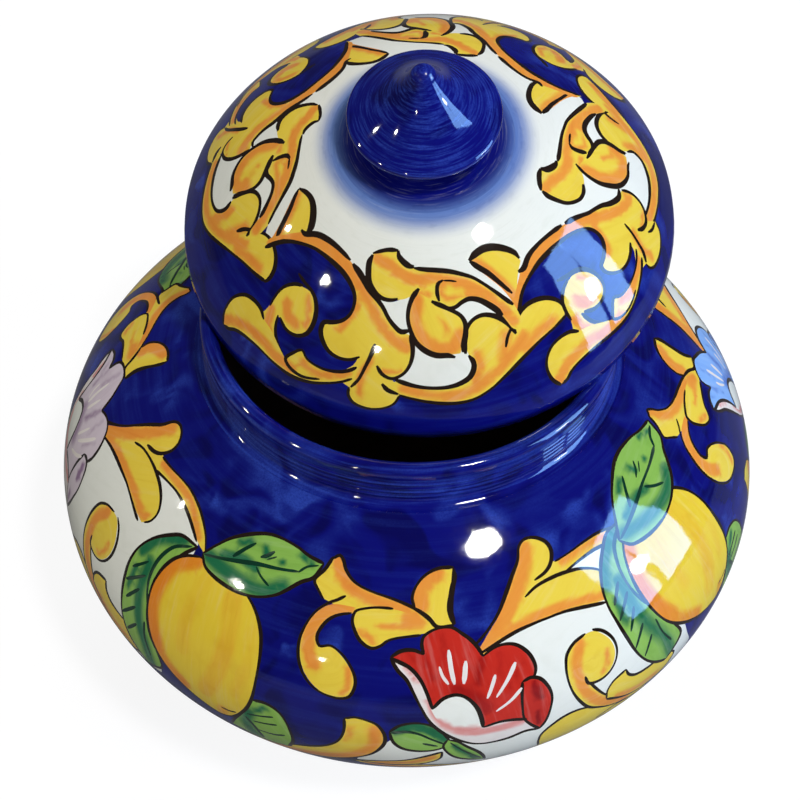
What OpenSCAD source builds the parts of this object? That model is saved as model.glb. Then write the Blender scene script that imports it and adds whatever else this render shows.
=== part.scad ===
// Round-bellied biscuit jar in thrown and luted tin-glazed earthenware.
// The lid stands set back and tipped on the mouth, propped on its locating ring.
// Z is up, the foot stands on z = 0 and the front is -Y. Sizes are in millimetres.

/* [Belly] */
// Greatest outer radius of the belly
belly_r = 125; // [105:1:150]
// How far the bowl's curve reaches below the greatest radius
bowl_h = 70; // [60:0.5:90]
// How far the shoulder's curve reaches above the greatest radius
shoulder_h = 71; // [62:0.5:95]
// Fullness of the bowl's curve, where 2 is an ellipse
bowl_fullness = 2; // [1.7:0.05:2.5]
// Fullness of the shoulder's curve, where 2 is an ellipse
shoulder_fullness = 2; // [1.7:0.05:2.5]
// Thickness of the thrown wall
wall = 6; // [4:0.5:8]
// Thickness of the floor above the foot ring
floor_t = 7; // [5:0.5:10]

/* [Foot ring] */
// Outer radius of the foot ring
foot_r = 62; // [50:1:72]
// Height of the foot ring
foot_h = 6; // [4:0.5:9]
// Width of the ring that stands on the table
foot_w = 8; // [6:0.5:12]
// Chamfer where the foot ring's two lower edges were sponged
foot_chamfer = 1; // [0.5:0.25:1.5]
// Draught of the foot ring's inner side
foot_draught = 2; // [0.5:0.5:3]

/* [Neck collar] */
// Inner radius of the mouth
mouth_r = 64; // [55:0.5:72]
// Thickness of the rolled lip, which is round on top
lip_t = 5.6; // [4:0.2:7]
// Height of the collar from the shoulder to the top of the lip
neck_h = 16.5; // [13:0.5:24]
// Number of throwing ridges below the lip
ridge_count = 3; // [1:1:5]
// How far each ridge stands out
ridge_d = 0.9; // [0.3:0.1:1.5]
// How far the collar spreads where it is luted to the shoulder
neck_flare = 3; // [1:0.5:5]

/* [Lid] */
// Greatest radius of the lid
lid_r = 82; // [78:0.5:90]
// Height of the dome above the plane of its lower edge
dome_h = 49; // [40:0.5:58]
// Radius of the round bead that hangs along the lid's edge, outside its flat seat
bead_r = 3; // [2:0.25:4]
// Thickness of the dome inside the locating ring
dome_t = 5.5; // [4:0.5:7]

/* [Locating ring] */
// Gap between the ring and the mouth when the lid is seated
ring_clearance = 4.5; // [3:0.25:7]
// Thickness of the ring
ring_t = 5; // [4:0.5:6]
// How far the ring reaches below the bead
ring_drop = 12; // [6:0.5:14]
// Rounding of the ring's lower outer edge
ring_round = 1; // [0.5:0.25:1.5]

/* [Knob] */
// Radius of the knob's widest edge
knob_r = 23.5; // [20:0.5:28]
// Height of the widest edge above the dome
knob_edge_h = 9; // [8:0.5:16]
// Height of the drawn-up point above the widest edge
knob_point_h = 21; // [14:0.5:28]
// Radius of the rounded point
knob_tip_r = 2.6; // [2:0.2:4]
// Radius of the knob's rounded edge
knob_edge_r = 1.5; // [1:0.25:2]
// Radius of the waist under the knob
waist_r = 12; // [9:0.5:14]
// Radius of the knob's foot, which is luted to the dome
knob_foot_r = 15; // [14.5:0.5:18]
// Height of the knob's foot
knob_foot_h = 3; // [2:0.25:4]

/* [Lid as it stands] */
// How far the lid is slid back from the middle of the mouth
lid_back = 28.6; // [22:0.2:32]
// Direction that the lid is slid in, in degrees to the right of straight back
lid_aside = 10; // [-30:1:30]
// Gap left under the lid where it bears on the lip
seat_gap = 0.3; // [0.1:0.05:0.5]

/* [Hidden] */
$fn = 144;
curve_steps = 30;
arc_steps = 10;
ridge_steps = 10;
edge_step = 0.5;

// The radius and height of a belly curve at its own angle t, and the two ways back.
function egg_r(t, r, p) = r * pow(cos(t), 2 / p);
function egg_z(t, h, p) = h * pow(sin(t), 2 / p);
function egg_height(at_r, r, h, p) = h * pow(1 - pow(at_r / r, p), 1 / p);
function egg_angle(at_r, r, p) = acos(pow(at_r / r, p / 2));

neck_r = mouth_r + lip_t;
belly_z = foot_h + egg_height(foot_r, belly_r, bowl_h, bowl_fullness);
neck_z = belly_z + egg_height(neck_r + neck_flare, belly_r, shoulder_h, shoulder_fullness);
lip_z = neck_z + neck_h;
lip_round = lip_t / 2;
crest_r = mouth_r + lip_round;

// The hollow inside the belly is a wall's thickness in from the outside.
hollow_r = belly_r - wall;
hollow_shoulder_h = shoulder_h - wall;
hollow_bowl_h = bowl_h - wall;
hollow_floor_z = foot_h + floor_t;
hollow_floor_r = hollow_r
    * pow(1 - pow((belly_z - hollow_floor_z) / hollow_bowl_h, bowl_fullness), 1 / bowl_fullness);

// The dome is one arc about a point on the lid's axis, tangent to the bead.
bead_at = lid_r - bead_r;
dome_mid_z = ((dome_h - bead_r) * (dome_h - bead_r) - bead_at * bead_at - bead_r * bead_r)
    / (2 * (dome_h - 2 * bead_r));
dome_arc_r = dome_h - dome_mid_z;
dome_edge_angle = asin(bead_at / (dome_arc_r - bead_r));
dome_in_r = dome_arc_r - dome_t;
land_z = dome_mid_z + sqrt(dome_arc_r * dome_arc_r - knob_foot_r * knob_foot_r);

// The flat seat runs from the bead to the locating ring, level with the bead's middle.
seat_z = bead_r;
ring_r = mouth_r - ring_clearance;
ring_in_r = ring_r - ring_t;

// The lid bears on the lip at four points: two under its bead and two under its locating ring.
// rest_height is how high a round edge of the lid, whose middle is a circle of radius r at height w
// on the lid, holds the lid above the middle of the rolled lip when the lid has that tilt.
function rest_height(r, w, edge_r, tilt) =
    let (reach = edge_r + lip_round + seat_gap)
    max([for (a = [-90 : edge_step : 90])
        let (y = r * sin(a) * cos(tilt) - w * sin(tilt),
             z = r * sin(a) * sin(tilt) + w * cos(tilt),
             off = norm([r * cos(a), lid_back + y]) - crest_r)
        abs(off) < reach ? sqrt(reach * reach - off * off) - z : -lid_r]);
function bead_height(tilt) = rest_height(bead_at, bead_r, bead_r, tilt);
function ring_height(tilt) =
    rest_height(ring_r - ring_round, ring_round - ring_drop, ring_round, tilt);
// The tilt at which all four points bear, found by halving the span that holds it.
function resting_tilt(low, high, turns) =
    let (mid = (low + high) / 2)
    turns == 0 ? mid
    : ring_height(mid) > bead_height(mid) ? resting_tilt(mid, high, turns - 1)
    : resting_tilt(low, mid, turns - 1);
lid_tilt = resting_tilt(0, 30, 16);
lid_z = lip_z - lip_round + bead_height(lid_tilt);

// A circle's points from one angle to another.
function arc(mid, r, from, to, steps) =
    [for (i = [0 : steps]) let (a = from + (to - from) * i / steps) mid + r * [cos(a), sin(a)]];
// A belly curve's points between two of its own angles, above (side = 1) or below (side = -1).
function egg(r, h, p, from, to, side) =
    [for (i = [0 : curve_steps]) let (t = from + (to - from) * i / curve_steps)
        [egg_r(t, r, p), belly_z + side * egg_z(t, h, p)]];

module jar_body() {
    foot_t = egg_angle(foot_r, belly_r, bowl_fullness);
    neck_t = egg_angle(neck_r + neck_flare, belly_r, shoulder_fullness);
    mouth_t = egg_angle(mouth_r, hollow_r, shoulder_fullness);
    floor_angle = egg_angle(hollow_floor_r, hollow_r, bowl_fullness);
    color("mediumblue") rotate_extrude() polygon(concat(
        [[0, foot_h]],
        egg(belly_r, bowl_h, bowl_fullness, foot_t, 0, -1),
        egg(belly_r, shoulder_h, shoulder_fullness, 0, neck_t, 1),
        [[mouth_r, neck_z]],
        egg(hollow_r, hollow_shoulder_h, shoulder_fullness, mouth_t, 0, 1),
        egg(hollow_r, hollow_bowl_h, bowl_fullness, 0, floor_angle, -1),
        [[0, hollow_floor_z]]));
}

module foot_ring() {
    foot_in_r = foot_r - foot_w;
    color("wheat") rotate_extrude() polygon([
        [foot_in_r - foot_draught, foot_h],
        [foot_in_r, foot_chamfer],
        [foot_in_r + foot_chamfer, 0],
        [foot_r - foot_chamfer, 0],
        [foot_r, foot_chamfer],
        [foot_r, foot_h]]);
}

// The collar's outside is a flared root, a row of throwing ridges and a rolled lip.
module neck_collar() {
    ridges_h = neck_h - lip_t - neck_flare;
    groove_r = neck_r - ridge_d;
    flare = [for (i = [0 : arc_steps]) let (a = 90 * i / arc_steps)
        [groove_r + (neck_flare + ridge_d) * (1 - sin(a)), neck_flare * (1 - cos(a))]];
    ridges = [for (i = [1 : ridge_count * ridge_steps])
        [groove_r + ridge_d / 2 * (1 - cos(360 * i / ridge_steps)),
         neck_flare + ridges_h * i / (ridge_count * ridge_steps)]];
    lip = arc([crest_r, neck_h - lip_round], lip_round, 0, 180, 2 * arc_steps);
    color("mediumblue") translate([0, 0, neck_z])
        rotate_extrude() polygon(concat(flare, ridges, lip, [[mouth_r, 0]]));
}

// Puts what is modelled about the lid's own axis where the lid stands.
module as_lid_stands() {
    rotate([0, 0, -lid_aside]) translate([0, lid_back, lid_z]) rotate([lid_tilt, 0, 0]) children();
}

module lid_dome() {
    outside = arc([0, dome_mid_z], dome_arc_r, 90 - dome_edge_angle,
                  acos(knob_foot_r / dome_arc_r), curve_steps);
    inside = arc([0, dome_mid_z], dome_in_r, 90, acos(ring_in_r / dome_in_r), curve_steps);
    bead = arc([bead_at, bead_r], bead_r, -180, 90 - dome_edge_angle, 2 * arc_steps);
    color("gold") as_lid_stands()
        rotate_extrude() polygon(concat(bead, outside, [[0, land_z]], inside, [[ring_in_r, seat_z]]));
}

module lid_locating_ring() {
    lower_edge = arc([ring_r - ring_round, ring_round - ring_drop], ring_round, 0, -90, arc_steps);
    color("ivory") as_lid_stands() rotate_extrude() polygon(concat(
        [[ring_in_r, seat_z], [ring_r, seat_z]], lower_edge, [[ring_in_r, -ring_drop]]));
}

// A thrown knob has a foot, a waist, a hollow underside, a thin round edge and a drawn-up point.
module knob() {
    edge_at = knob_r - knob_edge_r;
    edge_top_z = knob_edge_h + knob_edge_r;
    tip_z = knob_edge_h + knob_point_h - knob_tip_r;
    foot = [for (i = [0 : arc_steps]) let (a = 90 * i / arc_steps)
        [waist_r + (knob_foot_r - waist_r) * (1 - sin(a)), knob_foot_h * (1 - cos(a))]];
    underside = [for (i = [1 : arc_steps]) let (a = 90 * i / arc_steps)
        [waist_r + (edge_at - waist_r) * (1 - cos(a)),
         knob_foot_h + (knob_edge_h - knob_edge_r - knob_foot_h) * sin(a)]];
    flank = [for (i = [1 : curve_steps]) let (u = i / curve_steps)
        [edge_at + (knob_tip_r - edge_at) * u,
         edge_top_z + (tip_z - edge_top_z) * (0.25 * sin(90 * u) + 0.75 * u * u)]];
    color("mediumblue") as_lid_stands() translate([0, 0, land_z])
        rotate_extrude() polygon(concat(
            [[0, 0]], foot, underside,
            arc([edge_at, knob_edge_h], knob_edge_r, -90, 90, arc_steps),
            flank,
            arc([0, tip_z], knob_tip_r, 0, 90, arc_steps)));
}

jar_body();
foot_ring();
neck_collar();
lid_dome();
lid_locating_ring();
knob();
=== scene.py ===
"""A squat biscuit jar in tin-glazed earthenware, painted with lemons, flowers and leafy scrolls."""

import math
from collections import namedtuple

import bpy
import numpy as np
from bpy.props import FloatProperty, FloatVectorProperty, IntProperty, PointerProperty
from mathutils import Matrix, Vector
from mathutils.geometry import delaunay_2d_cdt
from mathutils.kdtree import KDTree


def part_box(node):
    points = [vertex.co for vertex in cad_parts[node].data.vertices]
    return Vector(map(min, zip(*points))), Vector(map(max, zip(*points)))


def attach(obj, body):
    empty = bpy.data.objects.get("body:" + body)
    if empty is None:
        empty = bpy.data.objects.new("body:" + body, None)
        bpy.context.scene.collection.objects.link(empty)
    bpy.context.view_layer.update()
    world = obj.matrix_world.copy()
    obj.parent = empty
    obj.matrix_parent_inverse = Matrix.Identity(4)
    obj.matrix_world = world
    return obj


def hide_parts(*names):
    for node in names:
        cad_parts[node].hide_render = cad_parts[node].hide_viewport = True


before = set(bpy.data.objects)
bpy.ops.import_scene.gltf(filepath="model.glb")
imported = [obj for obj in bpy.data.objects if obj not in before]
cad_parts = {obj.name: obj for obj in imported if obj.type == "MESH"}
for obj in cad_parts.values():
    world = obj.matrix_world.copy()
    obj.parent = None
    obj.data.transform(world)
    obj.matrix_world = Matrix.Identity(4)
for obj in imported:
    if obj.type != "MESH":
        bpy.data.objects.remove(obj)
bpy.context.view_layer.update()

bl_info = {
    "name": "Painted biscuit jar",
    "version": (1, 0, 0),
    "blender": (4, 5, 0),
    "location": "3D View > Sidebar > Jar",
    "description": "Throws, glazes and paints a round-bellied biscuit jar with a pointed knob",
    "category": "Add Mesh",
}

MM = 0.001
BODY_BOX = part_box("jar_body")
FOOT_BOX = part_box("foot_ring")
NECK_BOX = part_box("neck_collar")


def display(red, green, blue):
    """The linear colour of a display colour given from 0 to 255."""
    return tuple(
        c / 12.92 if c <= 0.04045 else ((c + 0.055) / 1.055) ** 2.4
        for c in (red / 255, green / 255, blue / 255)
    )


def length(name, description, default):
    """A size in metres that a user may change."""
    return FloatProperty(name=name, description=description, default=default, unit="LENGTH")


def colour(name, description, default):
    """A glaze or pigment colour that a user may change."""
    return FloatVectorProperty(
        name=name, description=description, subtype="COLOR", size=3, min=0, max=1, default=default
    )


class JarSizes(bpy.types.PropertyGroup):
    """Sizes of the thrown clay, at rest in the frame's own place."""

    belly_radius: length("Belly radius", "Greatest radius of the belly", BODY_BOX[1].x)
    bowl_reach: length("Bowl reach", "How far the bowl's ellipse reaches down", 0.070)
    shoulder_reach: length("Shoulder reach", "How far the shoulder's ellipse reaches up", 0.071)
    wall: length("Wall", "Thickness of the belly's wall", 0.006)
    floor: length("Floor", "Thickness of the belly's floor", 0.007)
    foot_radius: length("Foot radius", "Outer radius of the foot ring", FOOT_BOX[1].x)
    foot_height: length("Foot height", "Height of the foot ring", FOOT_BOX[1].z)
    foot_width: length("Foot width", "Width of the foot ring", 0.008)
    mouth_radius: length("Mouth radius", "Inner radius of the mouth", 0.064)
    lip_thickness: length("Lip thickness", "Thickness of the rolled lip", 0.0056)
    collar_root: length("Collar root", "Radius where the collar meets the shoulder", NECK_BOX[1].x)
    collar_bottom: length("Collar bottom", "Height of the collar's root", NECK_BOX[0].z)
    collar_top: length("Collar top", "Height of the top of the lip", NECK_BOX[1].z)
    ridge_depth: length("Ridge depth", "How far each throwing ridge stands out", 0.0005)
    ridges: IntProperty(name="Ridges", description="Throwing ridges on the collar", default=4)
    lid_radius: length("Lid radius", "Greatest radius of the lid", 0.082)
    dome_height: length("Dome height", "Height of the lid's dome", 0.049)
    bead_radius: length("Bead radius", "Radius of the lid's rounded edge", 0.003)
    dome_thickness: length("Dome thickness", "Thickness of the lid's dome", 0.0055)
    ring_radius: length("Ring radius", "Outer radius of the locating ring", 0.0595)
    ring_thickness: length("Ring thickness", "Thickness of the locating ring", 0.005)
    ring_drop: length("Ring drop", "How far the locating ring hangs down", 0.012)
    knob_radius: length("Knob radius", "Radius of the knob's edge", 0.0235)
    knob_foot: length("Knob foot", "Radius of the knob's foot", 0.015)
    lid_back: length("Lid back", "How far the lid is set back on the mouth", 0.0286)
    lid_height: length("Lid height", "Height of the middle of the lid's edge", 0.153342)
    lid_aside: FloatProperty(
        name="Lid aside", description="How far to the right of straight back the lid is set",
        subtype="ANGLE", default=math.radians(10),
    )
    lid_tilt: FloatProperty(
        name="Lid tilt", description="How far the lid is tipped to the front",
        subtype="ANGLE", default=math.radians(14.2019),
    )


class JarColours(bpy.types.PropertyGroup):
    """Colours of the glaze, the painter's pigments and the clay."""

    white: colour("White", "Tin glaze", display(228, 229, 222))
    cobalt: colour("Cobalt", "Ground of the belly and the lid's edge", display(8, 11, 106))
    cobalt_pale: colour("Pale cobalt", "Thin brushing of the ground", display(40, 64, 160))
    cobalt_deep: colour("Deep cobalt", "Double brushing of the ground", display(5, 5, 78))
    halo: colour("Halo", "Cobalt wash round the knob", display(92, 120, 182))
    yellow: colour("Yellow", "Scrolls", display(228, 200, 70))
    orange: colour("Orange", "Shaded side of the scrolls", display(226, 145, 59))
    lemon: colour("Lemon", "Lemons", display(226, 196, 56))
    lemon_shade: colour("Lemon shade", "Shaded side of the lemons", display(220, 130, 36))
    leaf: colour("Leaf", "Light green of the leaves", display(134, 178, 80))
    leaf_shade: colour("Leaf shade", "Dark green of the leaves", display(30, 104, 68))
    vein: colour("Vein", "Brushed veins of the leaves", display(14, 52, 36))
    red: colour("Red", "Red petals", display(190, 42, 31))
    red_shade: colour("Red shade", "Hearts of the red petals", display(140, 14, 16))
    purple: colour("Purple", "Purple petals", display(208, 194, 206))
    purple_shade: colour("Purple shade", "Hearts of the purple petals", display(136, 106, 140))
    sky: colour("Sky blue", "Blue petals", display(128, 172, 232))
    sky_shade: colour("Sky shade", "Hearts of the blue petals", display(54, 92, 186))
    petal_white: colour("Petal white", "Undersides of the petals", display(226, 218, 214))
    petal_pink: colour("Petal pink", "Shading of the undersides", display(216, 142, 138))
    ink: colour("Ink", "Manganese outlines", display(34, 24, 18))
    clay: colour("Clay", "Bare fired clay", display(196, 150, 116))
    inside: colour("Inside", "Clear glaze over clay inside the jar", display(124, 92, 70))
    floor: colour("Floor", "Floor of the studio", display(104, 104, 106))


# ------------------------------------------------------------------ curves and outlines

CURVE_STEP = 1.1
"""Distance in mm between the points of a painted edge."""


def arc(middle, radius, start, stop, count):
    """Points on an arc, with its angles in degrees."""
    angles = np.radians(np.linspace(start, stop, count))
    return np.stack(
        [middle[0] + radius * np.cos(angles), middle[1] + radius * np.sin(angles)], -1
    )


def spline(points, closed, mm_per_degree):
    """A smooth curve through the points, each an angle round the pot and a length down it."""
    knots = np.array(points, float) * [mm_per_degree, 1]
    if closed:
        knots = np.vstack([knots[-1], knots, knots[:2]])
    else:
        knots = np.vstack([2 * knots[0] - knots[1], knots, 2 * knots[-1] - knots[-2]])
    curve = []
    for four in zip(knots, knots[1:], knots[2:], knots[3:]):
        gaps = [max(np.linalg.norm(b - a), 1e-6) ** 0.5 for a, b in zip(four, four[1:])]
        times = np.cumsum([0, *gaps])
        count = max(math.ceil(gaps[1] ** 2 / CURVE_STEP), 1)
        at = np.linspace(times[1], times[2], count, endpoint=False)[:, None]

        def between(a, b, low, high):
            return ((high - at) * a + (at - low) * b) / (high - low)

        first = [between(four[i], four[i + 1], times[i], times[i + 1]) for i in range(3)]
        second = [between(first[i], first[i + 1], times[i], times[i + 2]) for i in range(2)]
        curve.append(between(second[0], second[1], times[1], times[2]))
    if not closed:
        curve.append(knots[-2][None])
    return np.vstack(curve) / [mm_per_degree, 1]


def stretches(points):
    """The smooth stretches of a closed outline, which is broken at each point marked as a tip."""
    tips = [i for i, p in enumerate(points) if len(p) == 3]
    bare = [p[:2] for p in points]
    if not tips:
        return [(bare, True)]
    ring = bare[tips[0]:] + bare[:tips[0]]
    cuts = [t - tips[0] for t in tips] + [len(points)]
    ring.append(ring[0])
    return [(ring[a:b + 1], False) for a, b in zip(cuts, cuts[1:])]


class Turned:
    """The outside of a pot turned about Z: radius and height along its outline, all in mm.

    A place on it is the turn in degrees, from the front to the right, and the length s in mm
    down the outline.
    """

    def __init__(self, outline, start=0.0):
        self.r, self.z = np.array(outline, float).T
        steps = np.hypot(np.diff(self.r), np.diff(self.z))
        self.s = start + np.r_[0, np.cumsum(steps)]
        growth = np.cumsum(2 * steps / (self.r[1:] + self.r[:-1]))
        self.chart = self.r[0] * np.exp(np.r_[0, growth])
        fall, run = np.gradient(self.z, self.s), np.gradient(self.r, self.s)
        size = np.hypot(fall, run)
        self.out_r, self.out_z = -fall / size, run / size

    def radius(self, s):
        return np.interp(s, self.s, self.r)

    def point(self, turn, s):
        r, a = self.radius(s), np.radians(turn)
        return np.stack([r * np.sin(a), -r * np.cos(a), np.interp(s, self.s, self.z)], -1)

    def normal(self, turn, s):
        r, a = np.interp(s, self.s, self.out_r), np.radians(turn)
        return np.stack([r * np.sin(a), -r * np.cos(a), np.interp(s, self.s, self.out_z)], -1)

    def to_chart(self, turn, s):
        """The place on a flat map that keeps the shape of small things."""
        rho, a = np.interp(s, self.s, self.chart), np.radians(turn)
        return np.stack([rho * np.sin(a), -rho * np.cos(a)], -1)

    def from_chart(self, at):
        """The turn and the length of places on the flat map."""
        x, y = at.T
        return np.degrees(np.arctan2(x, -y)), np.interp(np.hypot(x, y), self.chart, self.s)


# ------------------------------------------------------------------ the painter's strokes

Shape = namedtuple("Shape", "paint outline ink shade grain")
Line = namedtuple("Line", "points width paint")
Place = namedtuple("Place", "turn lift drop flower", defaults=["red"])
"""Where a repeat stands: its turn in degrees, how far its upper and its lower part are moved down
in mm, and the colour of its flower."""
Layer = namedtuple("Layer", "outline paint shade grain home")
Paint = namedtuple("Paint", "pigment tone mottle", defaults=[0.0])
"""A pigment, the colour of its shading, and how much of it is the cobalt ground."""

INK = 1.1
"""Usual width of an outline in mm."""
STROKE_STEP = 1.7
"""Where each next stroke begins in the swelling of the hand, in radians."""
ROUND_WAY = "round"
"""Grain of a stroke that is brushed all the way round the pot."""
ROUND_RING, ROUND_CLOSER, SWIRL_RING = 60, 4, 6
"""Radius in mm of the ring that such a stroke's hair marks run on, how much closer the marks lie,
and the radius of the ring for a stroke that goes round a middle of its own."""


def shape(paint, outline, ink=INK, shade=(), grain=None):
    """A filled shape with an ink outline, which is 0 where it has none.

    A point marked as a tip breaks the smooth edge. shade lists the darker strokes laid inside,
    each as its points, its reach in mm, and then perhaps its solid core in mm and its strength.
    grain is the brush's way in degrees, or the middle that it goes round.
    """
    return Shape(paint, outline, ink, shade, grain)


def line(points, width=INK, paint="ink"):
    """One brush line through the points."""
    return Line(points, width, paint)


def vein(points, width):
    """A brushed vein of a leaf."""
    return Line(points, width, "vein")


def ribbon(path, width, pot, phase):
    """The outline of a brush line, which swells and thins as the hand presses."""
    scale = np.stack([np.radians(1) * pot.radius(path[:, 1]), np.ones(len(path))], -1)
    run = np.gradient(path, axis=0) * scale
    gone = np.r_[0, np.cumsum(np.linalg.norm(np.diff(path, axis=0) * scale[1:], axis=1))]
    across = np.stack([-run[:, 1], run[:, 0]], -1)
    across /= np.maximum(np.linalg.norm(run, axis=1), 1e-9)[:, None]
    ends = np.minimum(gone, gone[-1] - gone)
    lifted, taper, swell, swell_length = 0.45, 2.2 * width, 0.22, 4.3
    press = np.minimum(1, lifted + ends / taper) * (1 + swell * np.sin(gone / swell_length + phase))
    side = across * (width / 2 * press)[:, None] / scale
    return np.vstack([path + side, (path - side)[::-1]])


class Painting:
    """Layers of paint on a pot, from the first laid to the last."""

    def __init__(self, pot, mm_per_degree, top, bottom, press=1.0):
        self.pot, self.mm_per_degree, self.press = pot, mm_per_degree, press
        self.top, self.bottom = top, bottom
        self.layers = []

    def put(self, points, place):
        """Points of the motif where one of its repeats has them."""
        turn, s = np.array(points, float).T
        share = np.clip((s - self.top) / (self.bottom - self.top), 0, 1)
        return np.stack([turn + place.turn, s + place.lift + (place.drop - place.lift) * share], -1)

    def lay(self, outline, paint, place, shade=(), grain=None):
        self.layers.append(Layer(outline, paint, shade, grain, place.turn))

    def brush_line(self, path, width, paint, place):
        phase = STROKE_STEP * len(self.layers)
        self.lay(ribbon(path, width * self.press, self.pot, phase), paint, place)

    def line(self, points, width, paint, place):
        path = self.put(spline(points, False, self.mm_per_degree), place)
        self.brush_line(path, width, paint, place)

    def shape(self, one, place):
        parts = stretches(one.outline)
        curves = [spline(points, closed, self.mm_per_degree) for points, closed in parts]
        edge = np.vstack([c if closed else c[:-1] for c, (_, closed) in zip(curves, parts)])
        shade = [
            (self.put(spline(points, False, self.mm_per_degree), place), *rest)
            for points, *rest in one.shade
        ]
        paint = place.flower if one.paint == "flower" else one.paint
        self.lay(self.put(edge, place), paint, place, shade, one.grain)
        if one.ink:
            for curve, (_, closed) in zip(curves, parts):
                path = np.vstack([curve, curve[:1]]) if closed else curve
                self.brush_line(self.put(path, place), one.ink, "ink", place)

    def paint(self, motif, places):
        """Lays each stroke of the motif in all its places before the next stroke."""
        for one in motif:
            for place in places:
                if isinstance(one, Line):
                    self.line(one.points, one.width, one.paint, place)
                else:
                    self.shape(one, place)


def inside(polygon, points):
    """Whether each point lies inside the polygon, by how often it winds round the point."""
    winding = np.zeros(len(points), int)
    for a, b in zip(polygon, np.roll(polygon, -1, axis=0)):
        side = (b[0] - a[0]) * (points[:, 1] - a[1]) - (points[:, 0] - a[0]) * (b[1] - a[1])
        winding += (a[1] <= points[:, 1]) & (b[1] > points[:, 1]) & (side > 0)
        winding -= (a[1] > points[:, 1]) & (b[1] <= points[:, 1]) & (side < 0)
    return winding != 0


def washed(layer, pot, turn, s):
    """How much of the shading colour covers each corner, from 0 to 1, and the corner's place
    along and across the shading stroke in mm."""
    amount, along, across = np.zeros((3, len(turn)))
    for path, reach, *rest in layer.shade:
        scale = np.radians(1) * pot.radius(path[:, 1].mean())
        gap, gone, at = np.full(len(turn), np.inf), np.zeros(len(turn)), 0.0
        for (x0, s0), (x1, s1) in zip(path, path[1:]):
            run = np.array([(x1 - x0) * scale, s1 - s0])
            size = np.hypot(*run)
            x, y = (turn - x0) * scale, s - s0
            share = np.clip((x * run[0] + y * run[1]) / size ** 2, 0, 1)
            away = np.hypot(x - share * run[0], y - share * run[1])
            nearer = away < gap
            gap[nearer], gone[nearer] = away[nearer], at + share[nearer] * size
            at += size
        core, strength = (*rest, *(0.0, 1.0)[len(rest):])
        share = np.clip((reach - gap) / (reach - core), 0, 1)
        cover = strength * share * share * (3 - 2 * share)
        most = cover > amount
        amount[most], along[most], across[most] = cover[most], gone[most], gap[most]
    return amount, along, across


def brushed(layer, pot, turn, s):
    """Each corner's place along and across the brush's way in this shape, in mm."""
    scale = np.radians(1) * pot.radius(layer.outline[:, 1].mean())
    x, y = (turn - layer.home) * scale, s
    if layer.grain == ROUND_WAY:
        a = np.radians(turn)
        return ROUND_RING * np.cos(a), ROUND_CLOSER * s, ROUND_RING * np.sin(a)
    if isinstance(layer.grain, tuple):
        at, down = layer.grain
        dx, dy = x - at * scale, y - down
        return np.arctan2(dy, dx) * SWIRL_RING, np.hypot(dx, dy), 0
    if layer.grain is None:
        edge = (layer.outline - [layer.home, 0]) * [scale, 1]
        angle = np.linalg.svd(edge - edge.mean(0), full_matrices=False)[2][0]
    else:
        angle = np.array([math.cos(math.radians(layer.grain)), math.sin(math.radians(layer.grain))])
    return x * angle[0] + y * angle[1], y * angle[0] - x * angle[1], 0


# ------------------------------------------------------------------ the belly's motif
# Each repeat is a quarter of the way round. The first number is degrees from the middle of
# the repeat, to the right, and the second is mm down the belly from the collar.


def belly_ground():
    """The white ground of a repeat, which the scrolls and the garland close in."""
    return [
        shape("white", [
            (13, 46), (17, 41), (24, 37), (27, 31), (30, 25.5), (36, 24), (43, 25.5), (48, 30),
            (49, 45), (48, 60), (49, 75), (50, 86), (44, 88), (38, 89), (30, 96), (20, 99),
            (10, 97), (2, 92), (-5, 92), (-6, 88), (-3, 81), (-2, 76), (0, 72.5), (5, 72.5),
            (9, 72), (9, 60), (9, 50),
        ], ink=0),
    ]


def belly_garland():
    """The low garland, which runs under the flowers and the lemons."""
    return [
        shape("yellow", [
            (21.5, 94, "tip"), (21, 87), (21.3, 82), (24, 77), (26.5, 76), (29.5, 78),
            (32.5, 81.5), (36.5, 86), (40, 90, "tip"), (36, 95), (30, 99), (24, 101.5),
            (16, 102), (8, 100), (0, 96.5), (-5, 93), (-7, 90, "tip"), (-2, 89.5), (4, 92),
            (10, 95), (16, 96.5), (20, 96),
        ], shade=[([(-4, 92.5), (4, 97), (14, 100), (24, 99.5), (32, 96), (38, 91)], 5)]),
        shape("yellow", [
            (-6.5, 89.5, "tip"), (-2, 88), (1, 86.5), (4, 83.5), (6.3, 81, "tip"), (6, 86),
            (3.5, 90.5), (-1, 92),
        ], shade=[([(-3, 90.5), (2, 88.5), (5, 84.5)], 3)]),
        shape("yellow", [
            (-8, 66.5, "tip"), (-6.5, 65.5), (-5, 66), (-3.3, 67.5), (-2.2, 71), (-2, 75),
            (-2.7, 79), (-4, 83), (-6.5, 87.5), (-10, 92), (-16, 97), (-24, 101), (-33, 103),
            (-42, 100.5), (-49, 96), (-54, 91, "tip"), (-51, 88), (-45, 92), (-39, 95.5),
            (-33, 97), (-25, 95.5), (-19, 91.5), (-15, 86.5), (-12, 83.5), (-10, 80.5),
            (-8.7, 77), (-8, 72),
        ], shade=[
            ([(-3.5, 70), (-3.5, 77), (-6, 84), (-11, 90), (-18, 95), (-27, 99.5), (-36, 100)], 5),
            ([(-7, 70), (-7.5, 76)], 2),
        ]),
    ]


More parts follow.
